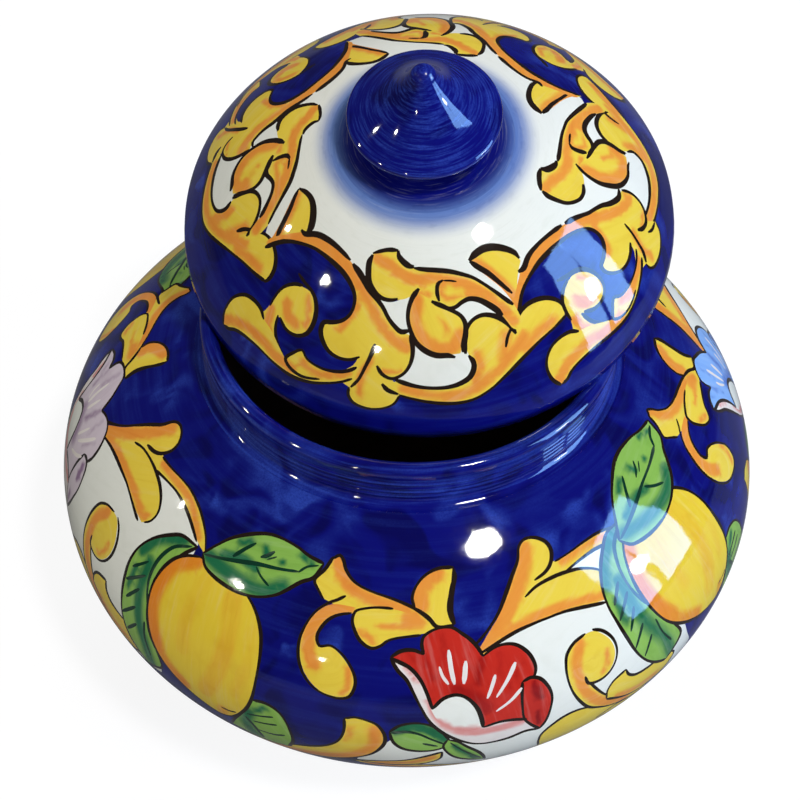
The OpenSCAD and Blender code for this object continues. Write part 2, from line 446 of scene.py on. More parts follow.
def lemon_branch():
    """The lemon with the long leaf on its left and the short one below it."""
    return [
        shape("leaf", [
            (-40, 32, "tip"), (-44, 32.5), (-46, 35), (-48.5, 40), (-50, 46), (-50.3, 52),
            (-49.8, 58), (-49, 65), (-48, 72), (-46.5, 78), (-44.5, 83), (-42, 87, "tip"),
            (-40, 84), (-38.5, 80), (-40, 72), (-42, 62), (-43, 50), (-42, 38),
        ], shade=[
            ([(-43, 33), (-47.5, 39), (-49, 46)], 4.5),
            ([(-46.5, 47), (-46, 56), (-44.5, 66), (-42, 76), (-41, 84)], 5),
            ([(-48.5, 52), (-48.3, 60)], 2.5),
        ], grain=75),
        vein([(-41, 33), (-44, 37), (-45.3, 43), (-45.3, 50), (-44.3, 56), (-42.5, 62)], 1.2),
        vein([(-46.8, 47), (-49.2, 53)], 1.1),
        vein([(-46, 51.5), (-49.3, 58.5)], 1.1),
        vein([(-46, 57), (-48, 64)], 1.1),
        vein([(-45.5, 64), (-48, 71)], 1.1),
        vein([(-44.5, 70), (-46.5, 76.5)], 1.1),
        vein([(-43, 66), (-42.4, 72), (-40.8, 79)], 0.9),
        shape("leaf", [
            (-22, 69.5, "tip"), (-20, 68.8), (-18, 70.3), (-16.9, 73), (-16, 78), (-15.6, 84),
            (-16.5, 91, "tip"), (-20, 93.5), (-26, 91, "tip"), (-25, 84), (-23.5, 77),
        ], shade=[([(-22.5, 76), (-23, 82), (-22, 90)], 5), ([(-20, 71), (-21.5, 74)], 2.5)],
            grain=60),
        vein([(-22.8, 77.3), (-20.5, 75.5), (-18.6, 73.8)], 0.9),
        vein([(-21.8, 80), (-19.6, 78.6), (-18, 77.3)], 0.9),
        vein([(-21.5, 85), (-18.5, 84), (-16.8, 82)], 0.9),
        vein([(-23, 79), (-21.5, 84), (-20.5, 91)], 1.1),
        shape("lemon", [
            (-38.5, 34), (-42, 38), (-43.5, 43), (-44.1, 50), (-43.8, 56), (-42.8, 63),
            (-41, 70), (-38.5, 75.5), (-35, 80.5), (-31, 84.3), (-27.8, 85.8), (-26, 84.4),
            (-24.6, 81), (-23, 75), (-22.2, 69), (-22, 60), (-22.3, 51), (-23.3, 44.5),
            (-25.5, 39), (-29, 35), (-34, 33),
        ], shade=[
            ([(-39, 35), (-42, 40), (-43.2, 47), (-43.2, 55), (-42, 63), (-40, 70)], 6, 1.6, 0.9),
            ([(-40, 70), (-37.5, 75), (-34, 79.5)], 4.5, 1, 0.8),
            ([(-29.5, 40), (-28, 52), (-28.5, 66), (-30, 76)], 5.5, 2, 0.34),
            ([(-35.5, 39), (-36, 52), (-35, 64)], 5, 1, 0.26),
            ([(-24.5, 46), (-24, 58), (-25, 70)], 3.6, 0.6, 0.26),
            ([(-27, 81.5), (-27, 84.5)], 3.5, 1, 0.6),
        ], grain=82),
        line([(-27.2, 80.6), (-25.8, 80.4), (-24.6, 79.3)], 0.7),
    ]


def top_leaf():
    """The leaf that lies over the top of the lemon."""
    return [
        shape("leaf", [
            (-38.5, 32.5, "tip"), (-37, 28), (-35, 23.3), (-32, 19.3), (-29, 16.8), (-26, 16),
            (-22, 16.6), (-19, 18), (-15.7, 19, "tip"), (-17, 24), (-19, 26.4), (-21, 30),
            (-22.5, 32.5), (-25, 35), (-28, 36.6), (-31, 37), (-35, 36.4), (-37, 35.3),
        ], shade=[
            ([(-37, 32), (-33, 33), (-29, 33.5), (-25, 33), (-22, 29.5)], 5),
            ([(-35, 29), (-31, 27), (-28, 28)], 3),
            ([(-33, 23), (-31, 21)], 2.6),
            ([(-28, 20.5), (-27, 22.5)], 2.4),
            ([(-24, 23), (-23.5, 22.5)], 2),
            ([(-20.5, 18.5), (-18, 20)], 2),
        ], grain=-12),
        vein([(-38.2, 32.5), (-34.5, 30.2), (-31, 28), (-28, 26.3), (-24, 25), (-20, 23.6)], 1.2),
        vein([(-20, 23.8), (-18.8, 21.5), (-16.6, 20)], 0.9),
        vein([(-33, 28), (-31.5, 24), (-30, 20.8)], 1.2),
        vein([(-28, 24), (-26.8, 22.6), (-25.8, 20.6)], 1.1),
        vein([(-26.6, 23.8), (-25, 21.8)], 0.6),
        vein([(-28, 27.2), (-26.5, 29.2), (-24.4, 31)], 0.9),
    ]


def grown(motif, root, long, wide):
    """The motif with its points spread out from the root, round the pot and down it."""
    def spread(points):
        return [(root[0] + (turn - root[0]) * long, root[1] + (s - root[1]) * wide, *tip)
                for turn, s, *tip in points]
    return [
        one._replace(points=spread(one.points)) if isinstance(one, Line) else one._replace(
            outline=spread(one.outline),
            shade=[(spread(points), *rest) for points, *rest in one.shade])
        for one in motif
    ]


def left_scroll():
    """The scroll to the left of the flower, with its hook and its upright tongue."""
    return [
        shape("yellow", [
            (-13.7, 15.8, "tip"), (-12.5, 15.8, "tip"), (-11.5, 18.5), (-10, 21.5), (-8, 23.5),
            (-5, 25), (-2.5, 26), (0, 27.5), (2, 28.7), (3.5, 30.5), (5, 33), (6, 35.6, "tip"),
            (3, 36.8), (0, 37), (-2, 33.5), (-4, 31.8), (-7, 31), (-10, 31), (-14, 29.3, "tip"),
            (-15.2, 27), (-16.4, 24.6), (-15.3, 20.5),
        ], shade=[
            ([(-13, 17), (-12.2, 20), (-10.5, 23.5), (-7, 26.2), (-3, 27.8), (0.5, 29.5)],
             3.2, 0.8),
            ([(2, 31), (3.3, 33.5)], 3.2),
        ], ink=0),
        line([(-14.3, 17), (-13, 15.4), (-12, 16.8), (-11.3, 19), (-9.7, 21.8), (-7.8, 23.5),
              (-5, 24.9), (-2.5, 25.9), (0, 27.3), (2.2, 29), (4, 31.4), (5.6, 34.2)], 0.95),
        line([(-14.2, 16.2), (-15.2, 20.5), (-16.6, 24.6), (-15.5, 27), (-14.2, 29.4)], 1.0),
        shape("yellow", [
            (-7, 30, "tip"), (-12.4, 30.3), (-14.6, 33.3), (-15.9, 38), (-16.4, 43),
            (-16, 48), (-15, 52.5), (-13.5, 56), (-12, 58), (-10.5, 58.9), (-9, 59),
            (-7.8, 58), (-7.1, 55), (-7.1, 52), (-7.7, 49.5), (-8.7, 46.8), (-10, 44.5),
            (-11.5, 43), (-13.4, 44, "tip"), (-14, 41), (-13.6, 38), (-12.6, 35), (-11, 33),
            (-7.6, 31.6, "tip"),
        ], shade=[
            ([(-9.5, 30.5), (-12.5, 32), (-14.5, 36), (-15.2, 41), (-14.6, 47), (-13.4, 50)],
             3.4, 1),
            ([(-8.2, 49), (-7.8, 54), (-8.6, 57.4)], 2),
        ], ink=0, grain=(-12, 46)),
        line([(-10.3, 27), (-11.8, 28.8), (-13, 30), (-14.9, 33.3), (-16.1, 38), (-16.6, 43),
              (-16.3, 48), (-15.3, 52.7), (-13.8, 56.3), (-12.2, 58.3), (-10.5, 59.2), (-8.8, 59.3),
              (-7.6, 58.2), (-6.9, 55), (-6.9, 52), (-7.5, 49.2), (-8.5, 46.4), (-9.8, 44.2),
              (-11.5, 42.8), (-13.2, 43.6), (-13.9, 41), (-13.5, 38), (-12.5, 35), (-10.9, 33),
              (-8.8, 31.8)], 0.95),
        shape("yellow", [
            (-8.4, 31.2), (-8.3, 34), (-7.7, 36.6), (-6.5, 39.6), (-4.8, 41.3), (-3.6, 40.4),
            (-2.6, 38.8), (-1.2, 37.8), (0.8, 37.2), (2.8, 36.8), (5, 35.5, "tip"), (3, 32),
            (0, 29.9), (-3, 29.2), (-6, 29.8),
        ], shade=[([(2.8, 33), (1, 32.2)], 4.2, 0.5), ([(-6.8, 37), (-4.6, 39.6)], 2.2),
                  ([(-4, 34.6), (1, 34.4)], 1.6)], ink=0, grain=-4),
        line([(-1.6, 29.2), (-4, 29.1), (-6.4, 29.8), (-8.2, 31.2), (-8.5, 34), (-7.9, 36.8),
              (-6.7, 39.9), (-4.8, 41.7), (-3.4, 40.7), (-2.3, 39), (-1, 38.1), (1, 37.5),
              (3.2, 37)], 1.0),
        shape("yellow", [
            (2.2, 28.8, "tip"), (1.7, 26), (2.2, 23), (3.6, 19.9), (5.5, 17.9), (7.5, 17.1),
            (9.9, 17.3, "tip"), (9.6, 20), (9.2, 23), (8.6, 26), (8.2, 30), (8.8, 34.6, "tip"),
            (6, 34.8), (4.4, 31.6),
        ], shade=[([(3.2, 28), (3, 24.5), (4.6, 21), (6.6, 18.8)], 4, 1.6)], grain=100),
        line([(9.8, 17.4), (9.9, 20), (9.2, 23.5), (8.7, 27), (8.5, 31), (9, 34.5)], 1.5),
    ]


def right_scroll():
    """The forked scroll to the right of the flower, with the curl and the leaf under it."""
    return [
        shape("yellow", [
            (12.3, 43.5, "tip"), (14.5, 38.5), (17, 33.5), (19, 28.5), (21, 24), (23, 19.5),
            (24.1, 16), (25.5, 14.5), (27.5, 15), (29.3, 17.5), (29.6, 20.3), (29.2, 23.7, "tip"),
            (31, 23.8), (35, 23.1), (39, 22.8), (42, 23.5), (46, 26.2), (49, 30), (51, 35, "tip"),
            (48.2, 33), (46, 30.6), (43.4, 28.6), (41, 27.3), (38, 26.6), (34, 27),
            (31.5, 27.8, "tip"), (34.2, 29.6), (36.6, 32.5),
            (37.8, 36), (37.6, 39.5), (36.4, 42.3, "tip"), (33.5, 41.3), (31, 40.2), (28, 39.1),
            (25, 38.9), (22, 39.1), (19, 39.9), (16.5, 41.6), (13.5, 45),
        ], shade=[
            ([(13.5, 42), (16, 37.8), (18.8, 32.5), (21.4, 27), (23.6, 21.5), (25.2, 17)], 4, 1.2),
            ([(17, 40.4), (20, 38.5), (24, 37.5), (28, 37.6), (32, 38.8), (35.5, 40.6)], 2.6, 0.6),
            ([(31, 25), (36, 24.6), (41, 25), (45, 28), (48, 32)], 2.6),
            ([(36.6, 39.2), (36.4, 40.5)], 2),
        ], ink=0, grain=-38),
        line([(12, 41.5), (14.1, 38.2), (16.7, 33.3), (18.7, 28.3), (20.7, 23.6), (22.8, 19.3),
              (23.9, 15.6), (25.5, 14.1), (27.8, 14.8), (29.6, 17.4), (29.9, 20.3), (28.9, 23.6),
              (27.3, 25.6), (24.6, 26.9)], 1.15),
        line([(29.6, 24), (33, 23.5), (36.5, 22.9), (40, 22.9), (43, 24), (46, 26.2), (49, 30),
              (51, 34.6)], 0.8),
        line([(30.8, 28.2), (34, 27.2), (38, 26.7), (41, 27.5), (43.4, 28.8), (46, 31),
              (48.2, 33.4)], 1.0),
        line([(22, 30.8), (24.4, 28.9), (27.5, 28.1), (31, 28.4), (34.3, 29.9), (36.8, 32.7),
              (38, 36), (37.8, 39.5), (36.8, 41.6)], 1.05),
        line([(12.6, 44.4), (16.2, 41.8), (19, 40.2), (22, 39.4), (25, 39.2), (28, 39.4),
              (31, 40.5), (33.5, 41.8), (35.6, 43)], 1.05),
        shape("yellow", [
            (30.3, 49), (28, 50.4), (26.6, 53), (26, 57), (26, 62), (26.5, 67), (27.5, 72),
            (29, 77), (31, 80.5), (33.5, 84.2), (37, 88, "tip"), (41, 90, "tip"), (39, 86.4),
            (36, 83.6), (33.5, 79.8), (31.3, 74.5), (30, 70), (29.3, 66.3, "tip"), (31, 66.8),
            (32.5, 65.8), (33.8, 63), (34.4, 59), (34.1, 55), (33, 51.5), (31.8, 49.3),
        ], shade=[
            ([(29, 51.5), (27.6, 56), (27.6, 62), (28.2, 68), (29.7, 74), (32, 79.5), (36, 85)],
             3.4, 1),
            ([(33, 58), (32.8, 62), (31.4, 65)], 2),
        ], ink=0, grain=(30, 59)),
        line([(30.3, 48.8), (28, 50), (26.4, 52.7), (25.8, 57), (25.8, 62), (26.3, 67), (27.3, 72),
              (28.8, 77.2), (30.8, 80.8), (33.3, 84.5), (36.8, 88.2)], 1.0),
        line([(31.6, 48.6), (33.2, 50.6), (34.5, 54.6), (34.8, 59), (34.1, 63.2), (32.7, 66.1),
              (31, 67.2), (29, 66.2), (28.6, 63)], 1.0),
        line([(29.2, 66), (30.2, 70), (31.5, 74.5), (33.7, 79.6)], 0.9),
        shape("yellow", [
            (32, 78, "tip"), (32.1, 74), (33.2, 71), (35.7, 69.2, "tip"), (36.1, 72), (37.5, 74.6),
            (40, 75.6), (43, 76), (46, 80), (44, 87), (39, 87), (35.5, 83.5),
        ], shade=[([(34, 80), (38, 83.5), (42, 84.5)], 3.2)]),
    ]


def flower():
    """The open flower: its underside, its heart, its petals and their light strokes."""
    return [
        shape("petal_white", [
            (-1.7, 44.2, "tip"), (-0.5, 48), (0.9, 51), (1.9, 55), (3, 60), (4.4, 66),
            (6.5, 71.4), (9, 75.7), (11, 78.2), (13, 79), (16, 78.6), (18.5, 77.2),
            (20.9, 78.2, "tip"), (20, 72), (16, 68), (12, 66), (8, 60), (4, 50),
        ], shade=[
            ([(4.6, 58.5), (5.4, 64), (7.6, 69.4), (10.5, 72), (14, 72.4), (18, 71.6)], 2.6, 0.5),
            ([(0.8, 47.5), (2.6, 52)], 1.6),
        ]),
        shape("white", [
            (4.6, 61.5, "tip"), (6.3, 57.6), (8.5, 56.6), (10.3, 58.3), (11.6, 62), (12.2, 67),
            (12.3, 71, "tip"), (9.5, 71), (7, 68.8), (5.4, 65),
        ], ink=0, shade=[([(5.6, 66), (8, 70), (11.4, 71)], 2.4)]),
        shape("flower", [
            (-1.7, 44, "tip"), (0, 41.9), (2, 41.6), (3.6, 43, "tip"), (3.3, 40), (3.6, 37.6),
            (5, 35.8), (7, 35), (8.6, 35.4), (10, 37.4), (11.5, 40), (12.4, 42.6),
            (13, 45.4, "tip"), (14.5, 43.8), (16.5, 43), (18.5, 44), (20, 46.8), (20.8, 50),
            (21, 53.6), (20.4, 56.6, "tip"), (19, 56.8), (18.5, 61), (18.3, 66),
            (18.8, 71.4, "tip"), (16.6, 70), (14.5, 69.6), (12.1, 70.6, "tip"), (11.9, 66),
            (11.3, 62), (10, 58.4), (8.5, 56.8), (6.5, 57.6), (4.7, 61.2, "tip"), (3.9, 55),
            (2.9, 50.6), (1.3, 47),
        ], shade=[
            ([(8.5, 55.5), (10.8, 58.5), (12.6, 63)], 5, 0.8, 0.7),
            ([(6.8, 37.5), (6.8, 46)], 2.4, 0, 0.5),
            ([(12.8, 46.5), (11.6, 54)], 2.6, 0.4, 0.7),
            ([(3.8, 43.4), (5, 51)], 2, 0, 0.6),
            ([(1, 42.8), (3.4, 47)], 1.6, 0, 0.5),
            ([(15.6, 45.5), (15.4, 53)], 2.2, 0, 0.5),
            ([(19, 50), (16.4, 57.5)], 1.8, 0, 0.5),
        ], grain=78),
        shape("flower", [
            (18.6, 56.6, "tip"), (20, 55.9), (21.4, 57.2), (22.5, 61), (22.9, 65), (22.5, 70),
            (21.7, 75), (20.8, 78.2, "tip"), (19.4, 74.6), (18.4, 71), (18.2, 66), (18.3, 61),
        ], shade=[([(20.4, 58.5), (21, 64)], 2.4, 0.6), ([(20.4, 70), (20.6, 75)], 1.8)], grain=85),
        line([(6, 47), (6.4, 50), (7.3, 53)], 0.9, "petal_white"),
        line([(7.6, 42), (7.8, 48), (8.2, 53.2)], 1.2, "petal_white"),
        line([(10.2, 46), (9.9, 50), (9.6, 53.4)], 1.3, "petal_white"),
        line([(14.6, 52), (13.8, 56), (13, 59.6)], 1.0, "petal_white"),
        line([(18, 49.5), (16.4, 54.5), (14.4, 59.8)], 1.2, "petal_white"),
        line([(18.4, 58.6), (16.6, 62), (14.2, 65)], 1.1, "petal_white"),
        line([(4.7, 61.2), (6.5, 57.6), (8.5, 56.7), (10, 58.4), (11.3, 62), (11.9, 66),
              (12.2, 70.6)], 1.3),
        line([(12.2, 70.6), (14.5, 69.7), (16.6, 70.1), (18.8, 71.4)], 1.2),
        line([(-1.6, 44.2), (1.3, 47), (2.9, 50.6), (3.9, 55), (4.8, 61)], 1.0),
    ]


def small_leaves():
    """The two small leaves under the flower."""
    return [
        shape("leaf", [
            (-1.4, 70.2, "tip"), (0, 67.5), (2, 66.4), (4, 67), (6, 70), (7.2, 74.4, "tip"),
            (6.6, 78), (5, 79.7), (2.5, 79.8), (0.5, 78.2), (-0.8, 75),
        ], shade=[([(-0.5, 69.6), (2, 68), (4.6, 70), (6.4, 73.8)], 3, 0.8)], grain=25),
        vein([(-1.2, 70.6), (1, 70), (2.8, 71), (4.6, 73.6), (6.6, 76.6)], 1.1),
        vein([(3.4, 75.6), (5.6, 77.4)], 0.9),
        shape("leaf", [
            (7, 74.3, "tip"), (8.5, 76), (10, 79.6), (11.5, 83.5), (12.4, 87.6), (13, 93, "tip"),
            (10.5, 90), (8.5, 86.4), (7.2, 82.4), (6.4, 77.6),
        ], shade=[([(8, 78), (9.6, 83), (11.4, 89)], 2.4)], grain=60),
        vein([(7.4, 76), (8.8, 80), (10.6, 85), (12.3, 90.5)], 0.9),
    ]


BACK = Place(179.0, 1.0, 0.0)
FRONT = Place(0.0, 0.0, 0.0)
LEFT = Place(-89.0, -3.0, -1.0)

GROUND_PLACES = (BACK, LEFT, FRONT, Place(85.0, -6.0, -1.0))
"""The four repeats round the belly, each a little out of true."""
LEMON_PLACES = (BACK, LEFT, FRONT, Place(86.0, -8.0, -7.0))
"""Where the lemons hang, which is higher up on the right."""
FLOWER_PLACES = (
    BACK, Place(-92.5, -7.0, -3.5, "purple"), FRONT, Place(85.0, -4.0, -6.0, "sky"),
)
"""Where the flowers and the scrolls to their left stand."""


# ------------------------------------------------------------------ the lid's motif
# The first number is degrees from the middle of the repeat and the second is mm down the
# dome from the lid's middle.


def lid_ground():
    """The white ground inside the scrolls."""
    return [
        shape("white", [
            (-9, 54), (-1, 55.5), (3, 54), (6, 53), (9, 55), (8, 62), (12, 68), (19, 69),
            (23, 72), (24, 75), (23, 79), (19, 82.5), (14, 83.5), (8, 83), (3, 81), (4, 77),
            (5, 73), (3, 71.5), (-1, 69), (-5, 65), (-9, 60),
        ], ink=0),
        shape("white", [
            (19, 58), (22, 55), (26, 54.5), (31, 57.5), (34, 62), (35.5, 66), (31, 64), (27, 63),
            (24, 65), (22, 64),
        ], ink=0),
    ]


def lid_bowls():
    """The wide scroll that runs under the white ground like a bowl."""
    return [
        shape("yellow", [
            (4, 79.3, "tip"), (8, 80.7), (12, 81.3), (16, 81.3), (19, 80.5), (21.5, 79),
            (22.8, 76.5), (23, 74), (22, 72, "tip"), (21.5, 69), (22, 66), (23, 63.5),
            (25, 61.7), (28, 61.2), (31, 62.3), (33.5, 64.5), (36, 66, "tip"), (37.6, 66.4, "tip"),
            (39, 64.3), (42, 63.4), (45, 63.6), (48, 65), (50.4, 67.5), (51.2, 71),
            (50, 72.8, "tip"), (46, 73.5), (41, 74.8), (35, 77.7), (30, 81), (26, 83.8),
            (22, 85.8), (18, 86.3), (12, 85.5), (8, 84.5), (3, 83.3, "tip"), (0, 81),
        ], shade=[
            ([(5, 81.6), (12, 83.6), (18, 84.2), (23, 82.6), (28, 79.4), (34, 74.6), (38, 71)],
             2.8, 0.6),
            ([(24.4, 72), (24.8, 76), (23, 80)], 2.6, 0.6),
            ([(47, 71.5), (42, 72.4), (37, 75)], 3.2, 0.5),
            ([(33, 69), (31, 75)], 4),
        ], ink=0, grain=-28),
        line([(3, 79), (8, 80.6), (12, 81.2), (16, 81.2), (19, 80.4), (21.4, 78.9), (22.7, 76.5),
              (22.9, 74.4), (21.9, 72)], 1.15),
        line([(21.2, 71.4), (21.3, 69), (21.9, 66), (22.9, 63.4), (25, 61.5), (28, 60.9),
              (31, 62), (33.3, 64), (35, 66.6), (35.8, 69.8)], 1.15),
        line([(51, 72.6), (46, 73.9), (41, 75.2), (35, 78.1), (30, 81.4), (26, 84.2), (22, 86.2),
              (18, 86.8), (12, 86), (8, 85), (4, 83.8)], 0.8),
        line([(32, 72.6), (33.6, 69.2), (37.4, 65.6), (39.4, 64), (42, 63.1), (45, 63.2),
              (48.3, 64.6), (50.8, 67.4), (51.5, 71), (50.8, 73)], 1.0),
    ]


def lid_tongues():
    """The single tongue between two repeats."""
    return [
        shape("yellow", [
            (-58.3, 43.3, "tip"), (-55, 41.5), (-51, 41), (-47, 41.8), (-43, 44), (-40.8, 46.5),
            (-40.2, 49.4, "tip"), (-43, 52), (-46, 56.5), (-48.5, 62, "tip"), (-49.5, 57),
            (-51.5, 52.5), (-54.5, 48.3), (-57, 45.4),
        ], shade=[([(-56, 44.6), (-53, 48), (-50, 53), (-48.6, 58)], 3.4, 0.8)], ink=0, grain=62),
        line([(-58.6, 42.8), (-55, 41.3), (-51, 40.8), (-47, 41.6), (-43, 43.8), (-40.6, 46.3),
              (-40.1, 48.6)], 1.5),
        line([(-58.4, 43), (-56, 45.4), (-53.3, 48), (-51, 51.4), (-49.2, 54.6), (-47.9, 57)], 1.1),
    ]


def lid_arches():
    """The long arch, the drop inside it and the scroll at its foot."""
    return [
        shape("yellow", [
            (-42.5, 49.5, "tip"), (-40, 48.5), (-38, 47), (-35, 46), (-31, 45.5), (-27, 45.6),
            (-23, 46.2), (-19, 47.3), (-14, 49.5), (-11, 51.5), (-8.5, 53.5), (-5, 55.8),
            (-3, 57.6), (-1, 60), (1, 62), (4, 64), (6, 64.6, "tip"), (6.8, 68), (6.8, 71.4),
            (6, 74.4), (4.5, 77), (2, 78.7, "tip"), (3, 80.4), (3.6, 82), (4.2, 84, "tip"),
            (2.7, 87), (0, 89), (-3, 89.7), (-6, 89), (-7.5, 87), (-7.8, 84.5, "tip"),
            (-10.5, 83), (-10, 79.8), (-8, 77), (-7, 74, "tip"), (-9, 75.4), (-12, 76),
            (-15, 75.3), (-17.5, 73), (-19.1, 70), (-19, 67.5, "tip"), (-17, 66.5),
            (-14.5, 65), (-12.8, 62.5), (-12.3, 59.5), (-13, 56.5), (-15.5, 53.8),
            (-19, 51.8), (-24, 50.5), (-29, 50), (-34, 50.3), (-38, 51.5), (-42, 53.5),
            (-45, 56), (-47, 59), (-48.8, 62.5, "tip"), (-49.5, 59), (-46, 53.5),
        ], shade=[
            ([(-48, 59), (-44, 53.6), (-38, 49), (-31, 47.6), (-24, 48), (-17, 50), (-12, 53)],
             3, 1),
            ([(-12, 53), (-8, 56.6), (-5, 60), (-2, 63.4), (2, 66.8), (5, 68.6)], 2.8, 0.8),
            ([(-11, 55), (-11, 60), (-13, 65), (-14.6, 68)], 2, 0.4),
            ([(5.4, 66), (4.6, 68.4)], 2),
            ([(-5, 86), (-5.6, 80), (-3.6, 74)], 2.2, 0.4),
            ([(0, 77), (4, 76)], 1.8),
        ], ink=0, grain=38),
        line([(-43, 49), (-40.6, 48.9), (-38, 47.1), (-35.4, 46), (-31, 45.4), (-27, 45.5),
              (-23, 46.1), (-19, 47.1)], 1.25),
        line([(-17.6, 47.7), (-14, 49.4), (-11, 51.4), (-8.5, 53.4), (-5, 55.7), (-2.8, 57.6),
              (-0.8, 60.2), (1.4, 62.4), (3.6, 63.9), (6, 63.2)], 1.25),
        line([(-48.6, 62), (-47, 58.8), (-45, 55.8), (-42, 53.3), (-38, 51.3), (-34, 50.1),
              (-29, 49.8), (-24, 50.3), (-19, 51.6), (-15.2, 53.8), (-12.8, 56.5), (-12.1, 59.6),
              (-12.6, 62.6), (-14.3, 65), (-16.8, 66.6), (-19, 67.6), (-19.2, 70.2), (-17.6, 73.2),
              (-15, 75.6), (-12, 76.3), (-9, 75.6), (-6.8, 73.9)], 1.05),
        line([(6.2, 64.6), (7, 68), (7, 71.4), (6.2, 74.6), (4.6, 77.2), (2, 78.8), (-0.4, 77.8),
              (-2, 75.4)], 1.0),
        line([(-3.3, 68.8), (-4, 72.8), (-5, 77), (-6, 81), (-7.6, 84.4)], 1.0),
        line([(-0.2, 80.9), (1.4, 82.7), (4, 83.6)], 1.2),
        line([(4.4, 83.8), (2.9, 87.2), (0, 89.3), (-3, 90), (-6.2, 89.3), (-7.8, 87.2),
              (-8, 84.4)], 0.7),
        shape("yellow", [
            (-27, 61.6), (-24.5, 63), (-22.7, 66), (-22, 70), (-22.8, 73.5), (-25, 75.6),
            (-28, 75.9), (-30.4, 75, "tip"), (-32, 74.2, "tip"), (-31, 78), (-29, 81.5),
            (-26, 84.7, "tip"), (-24, 88), (-30, 88.3), (-36, 85), (-37, 79.5), (-36, 75),
            (-35.5, 70), (-34.8, 66), (-32.5, 63), (-29.5, 61.7),
        ], shade=[
            ([(-31.4, 69), (-29.6, 72), (-26.4, 73)], 2.8, 0.8),
            ([(-27, 63.4), (-24, 68), (-23.6, 72)], 1.8, 0.3),
            ([(-34.6, 74), (-33.4, 79), (-30, 84)], 2.4, 0.8),
        ], ink=0, grain=75),
        line([(-33.4, 59.2), (-30, 60.2), (-26.4, 61.2), (-24.2, 62.8), (-22.4, 66), (-21.8, 70),
              (-22.6, 73.8), (-25, 76), (-28.2, 76.2), (-31.4, 74.2)], 1.05),
        line([(-35.6, 73.6), (-35.8, 70), (-35.1, 65.8), (-32.6, 62.6), (-29.8, 61.3)], 0.8),
        line([(-32.2, 74), (-31, 78.4), (-29, 81.8), (-26, 84.8)], 0.9),
        shape("yellow", [
            (-35.3, 78.5, "tip"), (-37.5, 76.9), (-40, 76.5), (-43, 77.5), (-45, 79.8),
            (-46, 82.5), (-46.2, 86), (-45.8, 89), (-44.5, 91.8, "tip"), (-43, 91), (-41, 89),
            (-38, 87.7), (-33, 87.2), (-28, 88), (-23, 88.5), (-18, 87.5), (-14, 85.5),
            (-10, 83), (-7.4, 80.5, "tip"), (-7, 77), (-9, 79), (-12, 80.5), (-16, 81.3),
            (-20, 80.7), (-22, 79, "tip"), (-24.3, 82), (-25.6, 84.7, "tip"), (-29, 81.8),
            (-32, 79.6),
        ], shade=[
            ([(-44.6, 90), (-42, 87), (-38, 85), (-33, 84.6), (-28, 86), (-23, 86.6)], 2.8, 0.8),
            ([(-21, 82.6), (-17, 84), (-12, 82.2), (-9, 80.2)], 2.4, 0.6),
        ], ink=0, grain=12),
        line([(-35.2, 78.6), (-37.3, 76.7), (-40, 76.2), (-43.2, 77.2), (-45.3, 79.6),
              (-46.4, 82.5), (-46.6, 86), (-46, 89.4), (-44.6, 92.2)], 0.9),
        line([(-44.4, 92), (-42.8, 91.4), (-41, 89.5), (-38, 88.2), (-33, 87.7), (-28, 88.5),
              (-23, 89), (-18, 88), (-14, 86), (-10, 83.5), (-7.6, 81.4)], 0.8),
        line([(-7, 77.4), (-9, 79.3), (-12, 80.9), (-16, 81.7), (-20, 81), (-22, 79.2),
              (-24.2, 82), (-25.3, 84.8), (-23.6, 86.6), (-20, 87.3), (-15.4, 85.4)], 0.8),
    ]


